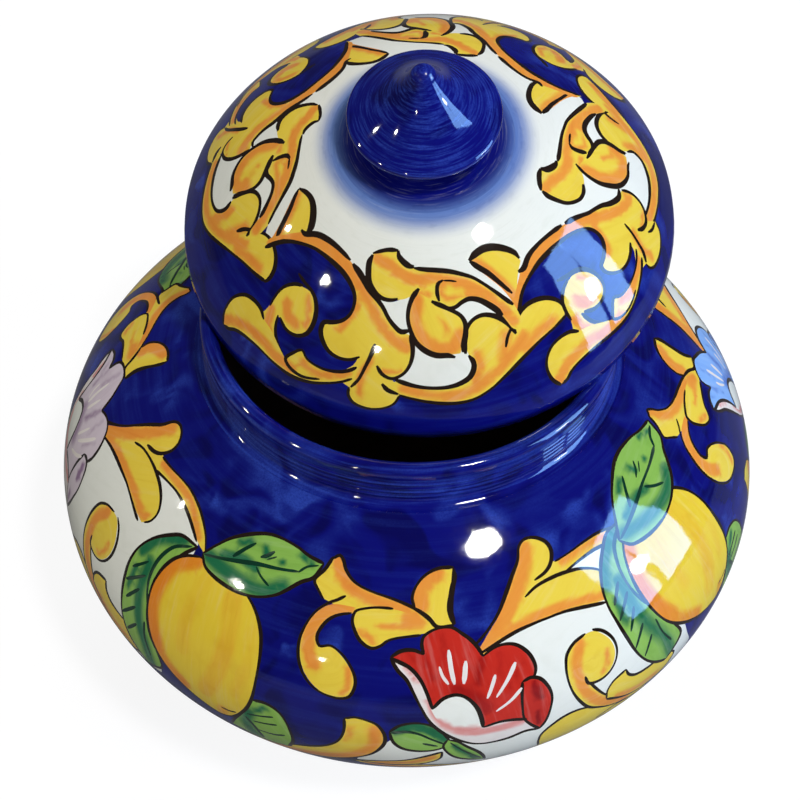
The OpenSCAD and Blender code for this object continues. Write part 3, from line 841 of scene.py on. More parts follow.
def lid_leaves():
    """The leaf and the long scroll over the white ground."""
    return [
        shape("yellow", [
            (8.3, 50.6, "tip"), (6.5, 53), (5.5, 56), (5.4, 59.5), (6.3, 63), (8, 66.5),
            (10.5, 69), (13.5, 70.5), (16.5, 70.9), (19.8, 71, "tip"), (21, 68), (22, 65),
            (22.3, 62), (21.5, 59.5), (19, 57.5), (16, 56), (13, 54.5), (11, 51.6),
        ], shade=[
            ([(8, 54), (7.6, 60), (9.6, 65), (13.6, 68.4), (18, 69), (20.4, 65)], 3.6, 0.6),
            ([(15, 60), (17.6, 65.6)], 1.6),
        ], ink=0, grain=70),
        shape("yellow", [
            (-11.5, 42.5, "tip"), (-8.5, 41.3), (-5, 40.3), (-1, 39.8, "tip"), (0.2, 41.6),
            (2, 43.2), (5, 44.5), (10, 45), (15, 45.5), (20, 46.3), (24, 47.6), (28, 49.5),
            (31, 52), (34, 55.5), (36.5, 59), (38.3, 61.5, "tip"), (38.6, 66), (37.4, 69),
            (35.6, 68), (34.3, 64.5), (33, 61.5), (31, 59), (28, 56.6), (25, 55.4), (22, 56),
            (20, 57.2), (16, 56), (12.6, 54.3, "tip"), (10.6, 53), (8.5, 52), (6, 53),
            (3, 54.2), (-1, 54.6), (-4, 54.3), (-7, 52.8), (-9.5, 50.5), (-10.8, 47.5),
            (-11.5, 45),
        ], shade=[
            ([(-9, 43.6), (-4, 44.6), (1, 46.6), (7, 48), (13, 47.4), (19, 48.6), (25, 50.6)],
             2.6, 0.8),
            ([(25, 50.6), (29, 53.6), (32.4, 57.6), (35, 62), (36.4, 66)], 2.6, 0.6),
            ([(16, 50), (17, 53.6), (23, 53.4), (28, 55)], 1.6),
            ([(9, 52), (12, 52.4)], 1.8),
        ], ink=0, grain=20),
        line([(8.4, 50.6), (6.5, 53), (5.4, 56), (5.2, 59.6), (6.2, 63.2), (7.9, 66.8),
              (10.4, 69.3), (13.5, 70.9), (16.6, 71.2), (18.4, 72)], 1.2),
        line([(12.6, 54.4), (15.8, 56), (18.8, 57.6), (21.4, 59.6), (22.4, 62), (22.1, 65),
              (21.2, 68), (20.6, 70.8)], 1.25),
        line([(15, 55), (18, 57), (20.4, 56.8), (22.4, 55.8), (25, 55.2), (28, 56.2), (31, 58.8),
              (33, 61.4), (33.8, 63)], 1.25),
        line([(17.2, 48.4), (15.2, 49.4), (14.7, 52), (15.2, 54.6)], 1.2),
        line([(17, 48.5), (20, 48.9), (22, 49.4)], 0.6),
        line([(-11.6, 42.6), (-8.5, 41.2), (-5, 40.2), (-1.2, 39.9)], 1.1),
        line([(-1.2, 39.9), (-0.6, 41.4), (1.6, 43), (4.6, 44.2), (6.2, 44.2)], 1.4),
        line([(6.2, 44.6), (10, 44.9), (15, 45.3), (20, 46.1), (24, 47.4), (28, 49.3), (31, 51.9),
              (34, 55.4), (36.4, 58.8), (38, 61.2)], 1.0),
        line([(-11.4, 43), (-11.8, 45.2), (-11, 48), (-9.7, 50.8), (-7.4, 53), (-4.2, 54.7),
              (-1, 54.9), (1.4, 54.1)], 1.2),
    ]


def lid_places(turn, lift):
    """The four repeats round the lid, of which the right one was painted less squarely."""
    return Place(176.0, -4.0, -2.0), Place(-92.0, -5.0, -3.0), FRONT, Place(turn, lift, 0.0)


SCROLL_PLACES = lid_places(86.0, -2.5)
TONGUE_PLACES = lid_places(87.0, 1.5)
ARCH_PLACES = lid_places(87.0, 5.0)
HALO_EDGE, HALO_SHADE_REACH, HALO_SHADE_CORE = 28.0, 18.0, 8.5
# Radius of the blue halo, and the reach and solid core of the cobalt in it, in mm. The cobalt next
# to the knob is partly the painter's wash and partly painted shade and painted reflection of the
# knob.
"""Radius of the blue halo, and the reach and solid core of the cobalt in it, in mm."""
WASH_TURN, WASH_REACH, WASH_CORE = 14.0, 25.0, 13.0
"""Radius of the brush's turn round the knob, and the reach and core of its pale wash, in mm."""


def lay_lid_middle(painting):
    """Lays the white middle of the lid, which runs on under the scrolls, and its blue halo, which
    darkens to cobalt next to the knob, partly as painted shade of the knob.
    """
    under_arch = [
        (-49.2, 61.5), (-47.5, 57), (-44, 51.4), (-40, 49.6), (-34, 48), (-26, 47.6), (-18, 49.2),
        (-12, 51.6), (-5.5, 55.9),
    ]
    under_leaf = [
        (-4, 53), (-8, 49), (-9, 45), (-5, 43.4), (0, 44.4), (5, 46.5), (14, 47.5), (22, 48.6),
        (28, 51.4), (33, 56), (36.6, 59.6),
    ]
    loop = np.vstack([
        painting.put(points, place)
        for pair in sorted(zip(ARCH_PLACES, SCROLL_PLACES))
        for points, place in zip((under_arch, under_leaf), pair)
    ])
    loop = np.vstack([loop, loop[:1] + [360, 0]])
    circle = np.array([(turn, WASH_TURN) for turn in range(-180, 181, 5)])
    painting.lay(spline(loop, False, 1.0)[:-1], "white_middle", FRONT,
                 [(circle, WASH_REACH, WASH_CORE)], ROUND_WAY)
    # The halo darkens to cobalt next to the knob: partly the painter's wash, partly painted shade
    # and painted reflection of the knob.
    painting.lay(circle[:-1] + [0, HALO_EDGE - WASH_TURN], "halo", FRONT,
                 [(circle, HALO_SHADE_REACH, HALO_SHADE_CORE)], ROUND_WAY)


# ------------------------------------------------------------------ painted shells

ROUND = 240
"""Points round each plain ring of a painted shell."""
PAINTED_GRID = 2.0
PLAIN_GRID = 4.5
"""Distance in mm between the points inside painted and plain glaze."""
LAYER_STEP = 37
"""How far apart the layers lie in the brush marks, so that no two have the same."""


def belly_pot(sizes):
    """The outside of the belly, from the collar's root down to the foot ring."""
    radius, bowl, shoulder = (v / MM for v in (
        sizes.belly_radius, sizes.bowl_reach, sizes.shoulder_reach))
    root, foot = sizes.collar_root / MM, sizes.foot_radius / MM
    middle = belly_middle(sizes)
    up = np.linspace(math.acos(root / radius), 0, 300)
    down = np.linspace(0, math.acos(foot / radius), 300)[1:]
    outline = [(radius * math.cos(t), middle + shoulder * math.sin(t)) for t in up]
    outline += [(radius * math.cos(t), middle - bowl * math.sin(t)) for t in down]
    return Turned(outline)


def belly_middle(sizes):
    """Height of the belly's greatest radius in mm."""
    share = sizes.foot_radius / sizes.belly_radius
    return (sizes.foot_height + sizes.bowl_reach * math.sqrt(1 - share * share)) / MM


def belly_hollow(sizes):
    """The inside of the belly, from the middle of its floor up to the collar's root."""
    middle, wall = belly_middle(sizes), sizes.wall / MM
    radius = sizes.belly_radius / MM - wall
    bowl, shoulder = sizes.bowl_reach / MM - wall, sizes.shoulder_reach / MM - wall
    floor = (sizes.foot_height + sizes.floor) / MM
    low, high = math.asin((middle - floor) / bowl), math.acos(sizes.mouth_radius / MM / radius)
    rise = np.linspace(low, 0, 22)
    top = np.linspace(0, high, 22)[1:]
    outline = [(0, floor), (40, floor)]
    outline += [(radius * math.cos(t), middle - bowl * math.sin(t)) for t in rise]
    outline += [(radius * math.cos(t), middle + shoulder * math.sin(t)) for t in top]
    return outline + [(sizes.mouth_radius / MM, sizes.collar_bottom / MM)]


class Lid:
    """The lid's outline about its own axis, in mm, and where the lid stands."""

    def __init__(self, sizes):
        self.edge = (sizes.lid_radius - sizes.bead_radius) / MM
        self.bead = sizes.bead_radius / MM
        height = sizes.dome_height / MM
        self.middle = ((height - self.bead) ** 2 - self.edge ** 2 - self.bead ** 2) / (
            2 * (height - 2 * self.bead))
        self.dome = height - self.middle
        self.under = self.dome - sizes.dome_thickness / MM
        self.edge_angle = math.degrees(math.asin(self.edge / (self.dome - self.bead)))
        self.knob_foot = sizes.knob_foot / MM
        self.land = self.middle + math.sqrt(self.dome ** 2 - self.knob_foot ** 2)
        self.ring = sizes.ring_radius / MM
        self.ring_in = self.ring - sizes.ring_thickness / MM
        self.stand = (
            Matrix.Rotation(-sizes.lid_aside, 4, "Z")
            @ Matrix.Translation((0, sizes.lid_back, sizes.lid_height))
            @ Matrix.Rotation(sizes.lid_tilt, 4, "X")
        )

    def pot(self):
        """The outside, from under the knob's foot to the bottom of the rounded edge."""
        start = math.degrees(math.asin((self.knob_foot - 1) / self.dome))
        dome = arc((0, self.middle), self.dome, 90 - start, 90 - self.edge_angle, 300)
        bead = arc((self.edge, self.bead), self.bead, 90 - self.edge_angle, -90, 60)[1:]
        return Turned(np.vstack([dome, bead]), start=math.radians(start) * self.dome)

    def underside(self):
        """From the bottom of the rounded edge to the middle of the dome's inside."""
        bead = arc((self.edge, self.bead), self.bead, -90, -180, 8)
        start = math.degrees(math.acos(self.ring_in / self.under))
        dome = arc((0, self.middle), self.under, start, 90, 26)
        return [*bead, (self.ring, self.bead), (self.ring_in, self.bead), *dome]


def grid_points(pot, plain_from, edges):
    """Points all over the outside, clear of the painted edges, as angle and length."""
    even_row, last_row, clear, fewest = 0.87, 0.6, 0.45, 40
    found, s, row = [], pot.s[0], 0
    tree = KDTree(len(edges))
    for i, at in enumerate(edges):
        tree.insert((*at, 0), i)
    tree.balance()
    while True:
        gap = PAINTED_GRID if s < plain_from else PLAIN_GRID
        s, row = s + gap * even_row, row + 1
        if s > pot.s[-1] - gap * last_row:
            return np.array(found)
        count = max(int(2 * math.pi * pot.radius(s) / gap), fewest)
        turn = (np.arange(count) + 0.5 * (row % 2)) * 360 / count - 180
        scale = np.interp(s, pot.s, pot.chart) / pot.radius(s)
        for t, at in zip(turn, pot.to_chart(turn, np.full(count, s))):
            if tree.find((*at, 0))[2] > clear * scale:
                found.append((t, s))


def triangulate(pot, layers, plain_from):
    """Triangles over the outside that follow every painted edge: chart points and triples."""
    rings = []
    for s in (pot.s[0], pot.s[-1]):
        turn = np.arange(ROUND) * 360 / ROUND - 180
        rings.append(pot.to_chart(turn, np.full(ROUND, s)))
    loops = rings + [pot.to_chart(*layer.outline.T) for layer in layers]
    points, edges = [], []
    for loop in loops:
        first, count = len(points), len(loop)
        points.extend(loop)
        edges.extend((first + i, first + (i + 1) % count) for i in range(count))
    painted = np.array(points)
    grid = grid_points(pot, plain_from, painted)
    points.extend(pot.to_chart(*grid.T))
    all_faces, same_point, no_area = 0, 1e-4, 1e-7
    verts, _, faces, *_ = delaunay_2d_cdt(
        [Vector(p) for p in points], edges, [], all_faces, same_point, False)
    verts = np.array([tuple(v) for v in verts])
    faces = np.array([tuple(f) for f in faces])
    a, b, c = (verts[faces[:, k]] for k in range(3))
    middle = (a + b + c) / 3
    size = (b[:, 0] - a[:, 0]) * (c[:, 1] - a[:, 1]) - (c[:, 0] - a[:, 0]) * (b[:, 1] - a[:, 1])
    hole = pot.chart[0] * math.cos(np.pi / ROUND)
    kept = (np.hypot(*middle.T) > hole) & (np.abs(size) > no_area)
    faces[size < 0] = faces[size < 0][:, ::-1]
    return verts, faces[kept], middle[kept]


def region_of(middles, pot, layers):
    """The number of the last layer over each triangle, or -1 where the ground shows."""
    region = np.full(len(middles), -1)
    for k, layer in enumerate(layers):
        edge = pot.to_chart(*layer.outline.T)
        low, high = edge.min(0), edge.max(0)
        near = np.flatnonzero(((middles > low) & (middles < high)).all(1))
        region[near[inside(edge, middles[near])]] = k
    return region


def corner_paint(pot, layers, paints, region, turn, s):
    """Pigment, shading colour and the ways of both brushes at each triangle's corners."""
    pigment = np.zeros((len(region), 3, 4), np.float32)
    tone = np.zeros((len(region), 3, 4), np.float32)
    brush = np.zeros((len(region), 3, 3), np.float32)
    stroke = np.zeros((len(region), 3, 3), np.float32)
    order = np.argsort(region, kind="stable")
    cuts = np.searchsorted(region[order], np.arange(-1, len(layers) + 1))
    for k in range(-1, len(layers)):
        mine = order[cuts[k + 1]:cuts[k + 2]]
        if not len(mine):
            continue
        name = layers[k].paint if k >= 0 else "ground"
        paint = paints[name]
        pigment[mine] = (*paint.pigment, paint.mottle)
        tone[mine] = (*paint.tone, 0)
        if k >= 0 and name != "ink":
            home = layers[k].home
            at = (turn[mine].ravel() - home + 180) % 360 - 180 + home
            down = s[mine].ravel()
            cover, *run = washed(layers[k], pot, at, down)
            tone[mine, :, 3] = cover.reshape(-1, 3)
            for axis, way in enumerate(run if layers[k].grain != ROUND_WAY else ()):
                stroke[mine, :, axis] = way.reshape(-1, 3)
            stroke[mine, :, 2] = LAYER_STEP * k
            ways = brushed(layers[k], pot, at, down)
            for axis, way in enumerate(ways):
                brush[mine, :, axis] = np.broadcast_to(way, at.shape).reshape(-1, 3)
            brush[mine, :, 2] += LAYER_STEP * k
    return pigment, tone, brush, stroke


def plain_rings(outline, first_index):
    """Vertices, faces and corner normals of a plain turned cap that ends on the axis.

    The outline runs the way the painted outside does, and the one end that isn't on the
    axis is the ring that the painted part already has.
    """
    outline = np.array(outline, float)
    run = np.diff(outline, axis=0)
    flat = np.stack([-run[:, 1], run[:, 0]], -1)
    flat /= np.linalg.norm(flat, axis=1)[:, None]
    turn = np.arange(ROUND) * 2 * math.pi / ROUND - math.pi
    across, back = np.sin(turn), -np.cos(turn)
    verts, rings = [], []
    for r, z in outline:
        if r < 1e-6:
            rings.append([first_index + len(verts)] * ROUND)
            verts.append((0, 0, z))
        else:
            rings.append(list(range(first_index + len(verts), first_index + len(verts) + ROUND)))
            verts.extend(zip(r * across, r * back, np.full(ROUND, z)))

    def corner(k, segment):
        """The outline's normal at point k on that segment, smooth where it bends little."""
        other, little = (k - 1 if segment == k else k), 0.8
        if 0 <= other < len(flat) and flat[other] @ flat[segment] > little:
            both = flat[other] + flat[segment]
            return both / np.linalg.norm(both)
        return flat[segment]

    faces, normals = [], []
    for k in range(len(outline) - 1):
        near, far = corner(k, k), corner(k + 1, k)
        for j in range(ROUND):
            n = (j + 1) % ROUND
            ring = [(rings[k][j], near, j), (rings[k + 1][j], far, j),
                    (rings[k + 1][n], far, n), (rings[k][n], near, n)]
            if rings[k][j] == rings[k][n]:
                ring.pop(3)
            elif rings[k + 1][j] == rings[k + 1][n]:
                ring.pop(2)
            faces.append([v for v, _, _ in ring])
            normals.extend((p[0] * across[i], p[0] * back[i], p[1]) for _, p, i in ring)
    return verts, faces, normals


def painted_shell(name, pot, painting, paints, start_cap, end_cap, plain_from, stand, materials):
    """A closed shell whose outside is cut into painted regions and whose rest is plain."""
    layers = painting.layers
    chart, triangles, middles = triangulate(pot, layers, plain_from)
    region = region_of(middles, pot, layers)
    turn, s = pot.from_chart(chart)
    points = pot.point(turn, s)
    outward = pot.normal(turn, s)
    pigment, tone, brush, stroke = corner_paint(
        pot, layers, paints, region, turn[triangles], s[triangles])
    verts = [tuple(p) for p in points]
    faces = [tuple(t) for t in triangles.tolist()]
    normals = [tuple(n) for n in outward[triangles.ravel()]]
    painted = len(faces)
    for cap in (start_cap, end_cap):
        more_verts, more_faces, more_normals = plain_rings(cap, len(verts))
        verts += more_verts
        faces += more_faces
        normals += more_normals
    mesh = bpy.data.meshes.new(name)
    mesh.from_pydata([tuple(c * MM for c in v) for v in verts], [], faces)
    corners = len(mesh.loops)
    for title, kind, values, width in (
        ("pigment", "FLOAT_COLOR", pigment, 4),
        ("tone", "FLOAT_COLOR", tone, 4),
        ("brush", "FLOAT_VECTOR", brush, 3),
        ("stroke", "FLOAT_VECTOR", stroke, 3),
    ):
        data = np.zeros((corners, width), np.float32)
        data[:painted * 3] = values.reshape(-1, width)
        field = "color" if kind == "FLOAT_COLOR" else "vector"
        mesh.attributes.new(title, kind, "CORNER").data.foreach_set(field, data.ravel())
    for material in materials:
        mesh.materials.append(material)
    slots = np.ones(len(faces), np.int32)
    slots[:painted] = 0
    mesh.polygons.foreach_set("material_index", slots)
    mesh.polygons.foreach_set("use_smooth", np.ones(len(faces), bool))
    mesh.normals_split_custom_set(normals)
    piece = bpy.data.objects.new(name, mesh)
    bpy.context.scene.collection.objects.link(piece)
    bpy.ops.object.select_all(action="DESELECT")
    piece.select_set(True)
    bpy.context.view_layer.objects.active = piece
    bpy.ops.object.mode_set(mode="EDIT")
    bpy.ops.mesh.select_all(action="SELECT")
    bpy.ops.mesh.remove_doubles(threshold=2e-6)
    bpy.ops.object.mode_set(mode="OBJECT")
    mesh.transform(stand)
    return piece


# ------------------------------------------------------------------ turned pieces


def turned_piece(name, outline, segments, stand):
    """A ring or a knob raised from one circle, ring by ring, along its outline in mm.

    An outline that ends where it starts makes a closed ring, and any other is closed on its axis.
    """
    bpy.ops.object.select_all(action="DESELECT")
    first = outline[0]
    bpy.ops.mesh.primitive_circle_add(
        vertices=segments, radius=first[0] * MM, location=(0, 0, first[1] * MM))
    piece = bpy.context.object
    piece.name = piece.data.name = name
    bpy.ops.object.transform_apply(location=True, rotation=True, scale=True)
    bpy.ops.object.mode_set(mode="EDIT")
    bpy.ops.mesh.select_all(action="SELECT")
    for (r0, z0), (r1, z1) in zip(outline, outline[1:]):
        bpy.ops.mesh.extrude_edges_move(
            TRANSFORM_OT_translate={"value": (0, 0, (z1 - z0) * MM)})
        bpy.ops.transform.resize(value=(r1 / r0, r1 / r0, 1), center_override=(0, 0, z1 * MM))
    bpy.ops.mesh.select_all(action="SELECT")
    bpy.ops.mesh.remove_doubles(threshold=1e-6)
    bpy.ops.mesh.select_all(action="DESELECT")
    bpy.ops.mesh.select_non_manifold()
    bpy.ops.mesh.fill_holes(sides=0)
    bpy.ops.mesh.select_all(action="SELECT")
    bpy.ops.mesh.normals_make_consistent(inside=False)
    bpy.ops.object.mode_set(mode="OBJECT")
    bpy.ops.object.shade_smooth_by_angle(angle=math.radians(50))
    piece.data.transform(stand)
    return piece


def collar_outline(sizes):
    """Flared root, throwing ridges, rolled lip and the straight inside of the mouth."""
    bottom, top = sizes.collar_bottom / MM, sizes.collar_top / MM
    mouth, lip = sizes.mouth_radius / MM, sizes.lip_thickness / MM
    root, ridge = sizes.collar_root / MM, sizes.ridge_depth / MM
    neck = mouth + lip
    flare = root - neck
    groove = neck - ridge
    rise = top - bottom - lip - flare
    steps = 10
    count = steps * sizes.ridges
    outline = [
        (groove + (flare + ridge) * (1 - math.sin(a)), bottom + flare * (1 - math.cos(a)))
        for a in np.linspace(0, math.pi / 2, 9)
    ]
    outline += [
        (groove + ridge / 2 * (1 - math.cos(2 * math.pi * i / steps)),
         bottom + flare + rise * i / count)
        for i in range(1, count + 1)
    ]
    outline += [tuple(p) for p in arc((mouth + lip / 2, top - lip / 2), lip / 2, 0, 180, 17)[1:]]
    return outline + [(mouth, bottom), outline[0]]


def foot_outline(sizes):
    """A ring that widens a little upwards inside, with chamfers at the standing edge."""
    radius, height = sizes.foot_radius / MM, sizes.foot_height / MM
    inner = radius - sizes.foot_width / MM
    chamfer, draught = 1.0, 2.0
    outline = [
        (inner - draught, height), (inner, chamfer), (inner + chamfer, 0),
        (radius - chamfer, 0), (radius, chamfer), (radius, height),
    ]
    return outline + [outline[0]]


def ring_outline(lid, sizes):
    """A straight ring with a rounded lower outer edge."""
    drop, rounding = sizes.ring_drop / MM, 1.0
    outline = [(lid.ring_in, lid.bead), (lid.ring, lid.bead)]
    outline += [tuple(p) for p in arc(
        (lid.ring - rounding, rounding - drop), rounding, 0, -90, 7)]
    return outline + [(lid.ring_in, -drop), outline[0]]


def knob_outline(lid, sizes):
    """Foot, waist, hollow underside, thin round edge, hollow flank and drawn-up point."""
    edge, tip = 1.5, 4.2
    edge_end, flank_end, tip_end = 62, 29, 84
    waist, foot_height, edge_height, point_height = 12.0, 3.0, 9.0, 21.0
    edge_at = sizes.knob_radius / MM - edge
    tip_at = edge_height + point_height - tip
    quarter = np.linspace(0, math.pi / 2, 9)
    outline = [
        (waist + (lid.knob_foot - waist) * (1 - math.sin(a)), foot_height * (1 - math.cos(a)))
        for a in quarter
    ]
    outline += [
        (waist + (edge_at - waist) * (1 - math.cos(a)),
         foot_height + (edge_height - edge - foot_height) * math.sin(a))
        for a in quarter[1:]
    ]
    outline += [tuple(p) for p in arc((edge_at, edge_height), edge, -90, edge_end, 11)[1:]]
    nose = arc((0, tip_at), tip, flank_end, tip_end, 9)
    (out, low), (near, high) = outline[-1], nose[0]

    def climb(u):
        """The flank's share of its height, which is nearly straight and then steepens."""
        return 0.62 * u + 0.18 * u ** 2 + 0.2 * u ** 5

    outline += [
        (out + (near - out) * u, low + (high - low) * climb(u))
        for u in np.sin(np.radians(np.linspace(0, 90, 37)))[1:]
    ]
    outline += [tuple(p) for p in nose[1:]]
    return [(r, z + lid.land) for r, z in outline]


# ------------------------------------------------------------------ glazes


def add(tree, kind, inputs=None, **settings):
    """A node with its settings and, by name or number, its input values or links."""
    node = tree.nodes.new(kind)
    for name, value in settings.items():
        setattr(node, name, value)
    for name, value in (inputs or {}).items():
        if isinstance(value, bpy.types.NodeSocket):
            tree.links.new(value, node.inputs[name])
        else:
            node.inputs[name].default_value = value
    return node


def maths(tree, operation, *values, clamp=False):
    """The result of a Math node on sockets or numbers."""
    node = add(tree, "ShaderNodeMath", dict(enumerate(values)), operation=operation)
    node.use_clamp = clamp
    return node.outputs[0]


def mix(tree, factor, a, b, blend="MIX"):
    """Mixes two colours, each a socket or a constant."""
    node = add(tree, "ShaderNodeMix", data_type="RGBA", blend_type=blend)
    for index, value in ((0, factor), (6, a), (7, b)):
        if isinstance(value, bpy.types.NodeSocket):
            tree.links.new(value, node.inputs[index])
        elif index == 0:
            node.inputs[0].default_value = value
        else:
            node.inputs[index].default_value = (*value, 1)
    return node.outputs[2]


def noise(tree, at, scale, detail=2.0, roughness=0.5, distortion=0.0):
    """The outputs of a noise over the places given."""
    return add(tree, "ShaderNodeTexNoise", {
        "Vector": at, "Scale": scale, "Detail": detail, "Roughness": roughness,
        "Distortion": distortion}).outputs


def vectors(tree, operation, a, b):
    """The result of a Vector Math node."""
    return add(tree, "ShaderNodeVectorMath", {0: a, 1: b}, operation=operation).outputs[0]


def join(tree, x, y, z=0.0):
    """A vector from its three parts, each a socket or a number."""
    return add(tree, "ShaderNodeCombineXYZ", {0: x, 1: y, 2: z}).outputs[0]


def smooth_range(tree, value, low, high):
    """0 at low, 1 at high and a smooth step between them."""
    node = add(tree, "ShaderNodeMapRange", {"Value": value, "From Min": low, "From Max": high},
               interpolation_type="SMOOTHSTEP")
    return node.outputs["Result"]


def group(name, inputs, outputs, build):
    """A shader node group that build fills once."""
    tree = bpy.data.node_groups.get(name)
    if tree:
        return tree
    tree = bpy.data.node_groups.new(name, "ShaderNodeTree")
    for title, kind, default in inputs:
        socket = tree.interface.new_socket(title, in_out="INPUT", socket_type=kind)
        if default is not None:
            socket.default_value = default
    for title, kind in outputs:
        tree.interface.new_socket(title, in_out="OUTPUT", socket_type=kind)
    source, sink = tree.nodes.new("NodeGroupInput"), tree.nodes.new("NodeGroupOutput")
    for title, socket in build(tree, source.outputs).items():
        tree.links.new(socket, sink.inputs[title])
    return tree


def use(tree, made, inputs):
    """The outputs of a node group placed in a material with its own values."""
    return add(tree, "ShaderNodeGroup", inputs, node_tree=made).outputs


FLOAT, VECTOR, COLOUR = "NodeSocketFloat", "NodeSocketVector", "NodeSocketColor"


def brush_streaks():
    """Hair marks of a loaded brush, from its place along and across the stroke in mm."""
    def build(tree, given):
        across = vectors(tree, "MULTIPLY", given["Brush"], (0.04, 0.42, 0.04))
        hairs = noise(tree, across, 1.0, 4.0, 0.6)
        pools = noise(tree, given["Brush"], 0.12)
        return {"Hairs": hairs["Fac"], "Pools": pools["Fac"]}
    return group("BrushStreaks", [("Brush", VECTOR, None)],
                 [("Hairs", FLOAT), ("Pools", FLOAT)], build)


def cobalt_ground():
    """Cobalt brushed round a turned pot: clouds where it is thin, and hair marks that run round."""
    def build(tree, given):
        at = given["Vector"]
        part = add(tree, "ShaderNodeSeparateXYZ", {0: at}).outputs
        reach = add(tree, "ShaderNodeVectorMath", {0: join(tree, part[0], part[1])},
                    operation="LENGTH").outputs["Value"]
        safe = maths(tree, "MAXIMUM", reach, 0.001)
        profile = maths(tree, "SUBTRACT", reach, maths(tree, "MULTIPLY", part[2], 0.8))
        ring = join(tree, maths(tree, "DIVIDE", part[0], safe),
                    maths(tree, "DIVIDE", part[1], safe),
                    maths(tree, "MULTIPLY", profile, given["Fineness"]))
        hairs = noise(tree, ring, 1.6, 5.0, 0.62)["Fac"]
        dabs = noise(tree, at, 58.0, 1.5, 0.45, distortion=1.1)
        drift = vectors(tree, "MULTIPLY", dabs["Color"], (0.02, 0.02, 0.02))
        touches = add(tree, "ShaderNodeTexVoronoi", {
            "Vector": vectors(tree, "ADD", drift, at), "Scale": 70.0, "Smoothness": 0.6,
        }, feature="SMOOTH_F1").outputs["Color"]
        touch = smooth_range(
            tree, add(tree, "ShaderNodeSeparateColor", {0: touches}).outputs[0], 0.35, 0.95)
        grain = maths(tree, "MULTIPLY", noise(tree, at, 1500.0, 2.0, 0.7)["Fac"], 1.8)
        soft = smooth_range(tree, dabs["Fac"], 0.44, 0.68)
        patch = maths(tree, "MULTIPLY", maths(tree, "MULTIPLY", soft, touch), given["Clouds"])
        marks = maths(
            tree, "MULTIPLY", smooth_range(tree, hairs, 0.42, 0.68), given["Hair Marks"])
        patchy = maths(tree, "MULTIPLY", maths(tree, "ADD", patch, marks),
                       maths(tree, "ADD", 0.1, grain), clamp=True)
        thick = smooth_range(tree, dabs["Fac"], 0.50, 0.34)
        deep = mix(tree, thick, given["Cobalt"], given["Deep"])
        return {"Color": mix(tree, patchy, deep, given["Pale"])}
    return group("CobaltGround", [
        ("Vector", VECTOR, None), ("Fineness", FLOAT, 220.0), ("Clouds", FLOAT, 0.6),
        ("Hair Marks", FLOAT, 0.4), ("Cobalt", COLOUR, None), ("Pale", COLOUR, None),
        ("Deep", COLOUR, None)], [("Color", COLOUR)], build)


def glaze_skin():
    """The faint waves and pinholes of a fired glaze, as roughness and normal."""
    def build(tree, given):
        waves = noise(tree, given["Vector"], 60.0)["Fac"]
        grain = noise(tree, given["Vector"], 700.0, 2.0, 0.6)["Fac"]
        rough = maths(tree, "ADD", given["Roughness"], maths(tree, "MULTIPLY", grain, 0.06))
        height = maths(tree, "ADD", waves, maths(tree, "MULTIPLY", grain, 0.04))
        bump = add(tree, "ShaderNodeBump",
                   {"Strength": 1.0, "Distance": given["Depth"], "Height": height})
        return {"Roughness": rough, "Normal": bump.outputs["Normal"]}
    return group("GlazeSkin", [
        ("Vector", VECTOR, None), ("Roughness", FLOAT, 0.06), ("Depth", FLOAT, 0.0002)],
        [("Roughness", FLOAT), ("Normal", VECTOR)], build)


WHITE_ROUGHNESS = 0.12
"""Roughness of the plain white glaze under the lid."""


def new_material(name):
    """A material with its node tree and its own Principled BSDF."""
    material = bpy.data.materials.new(name)
    material.use_nodes = True
    tree = material.node_tree
    shader = tree.nodes["Principled BSDF"]
    return material, tree, shader


def object_place(tree, stand=None):
    """Object coordinates, turned back to the piece's own axis when it stands askew."""
    place = add(tree, "ShaderNodeTexCoord").outputs["Object"]
    if stand is None:
        return place
    back = stand.inverted()
    return add(tree, "ShaderNodeMapping", {
        "Vector": place, "Location": back.to_translation(), "Rotation": back.to_euler()},
        vector_type="POINT").outputs[0]


def finish_glaze(tree, shader, colour_socket, place, roughness=0.02, depth=0.0002):
    """Gives the material its colour and the skin of a fired glaze."""
    skin = use(tree, glaze_skin(), {"Vector": place, "Roughness": roughness, "Depth": depth})
    tree.links.new(colour_socket, shader.inputs["Base Color"])
    tree.links.new(skin["Roughness"], shader.inputs["Roughness"])
    tree.links.new(skin["Normal"], shader.inputs["Normal"])
    shader.inputs["IOR"].default_value = 1.5


def cobalt_colour(tree, colours, place, fineness, clouds, hairs):
    """The brushed cobalt, whose hair marks lie closer together the more its fineness is."""
    return use(tree, cobalt_ground(), {
        "Vector": place, "Fineness": fineness, "Clouds": clouds, "Hair Marks": hairs,
        "Cobalt": (*colours.cobalt, 1), "Pale": (*colours.cobalt_pale, 1),
        "Deep": (*colours.cobalt_deep, 1)})["Color"]


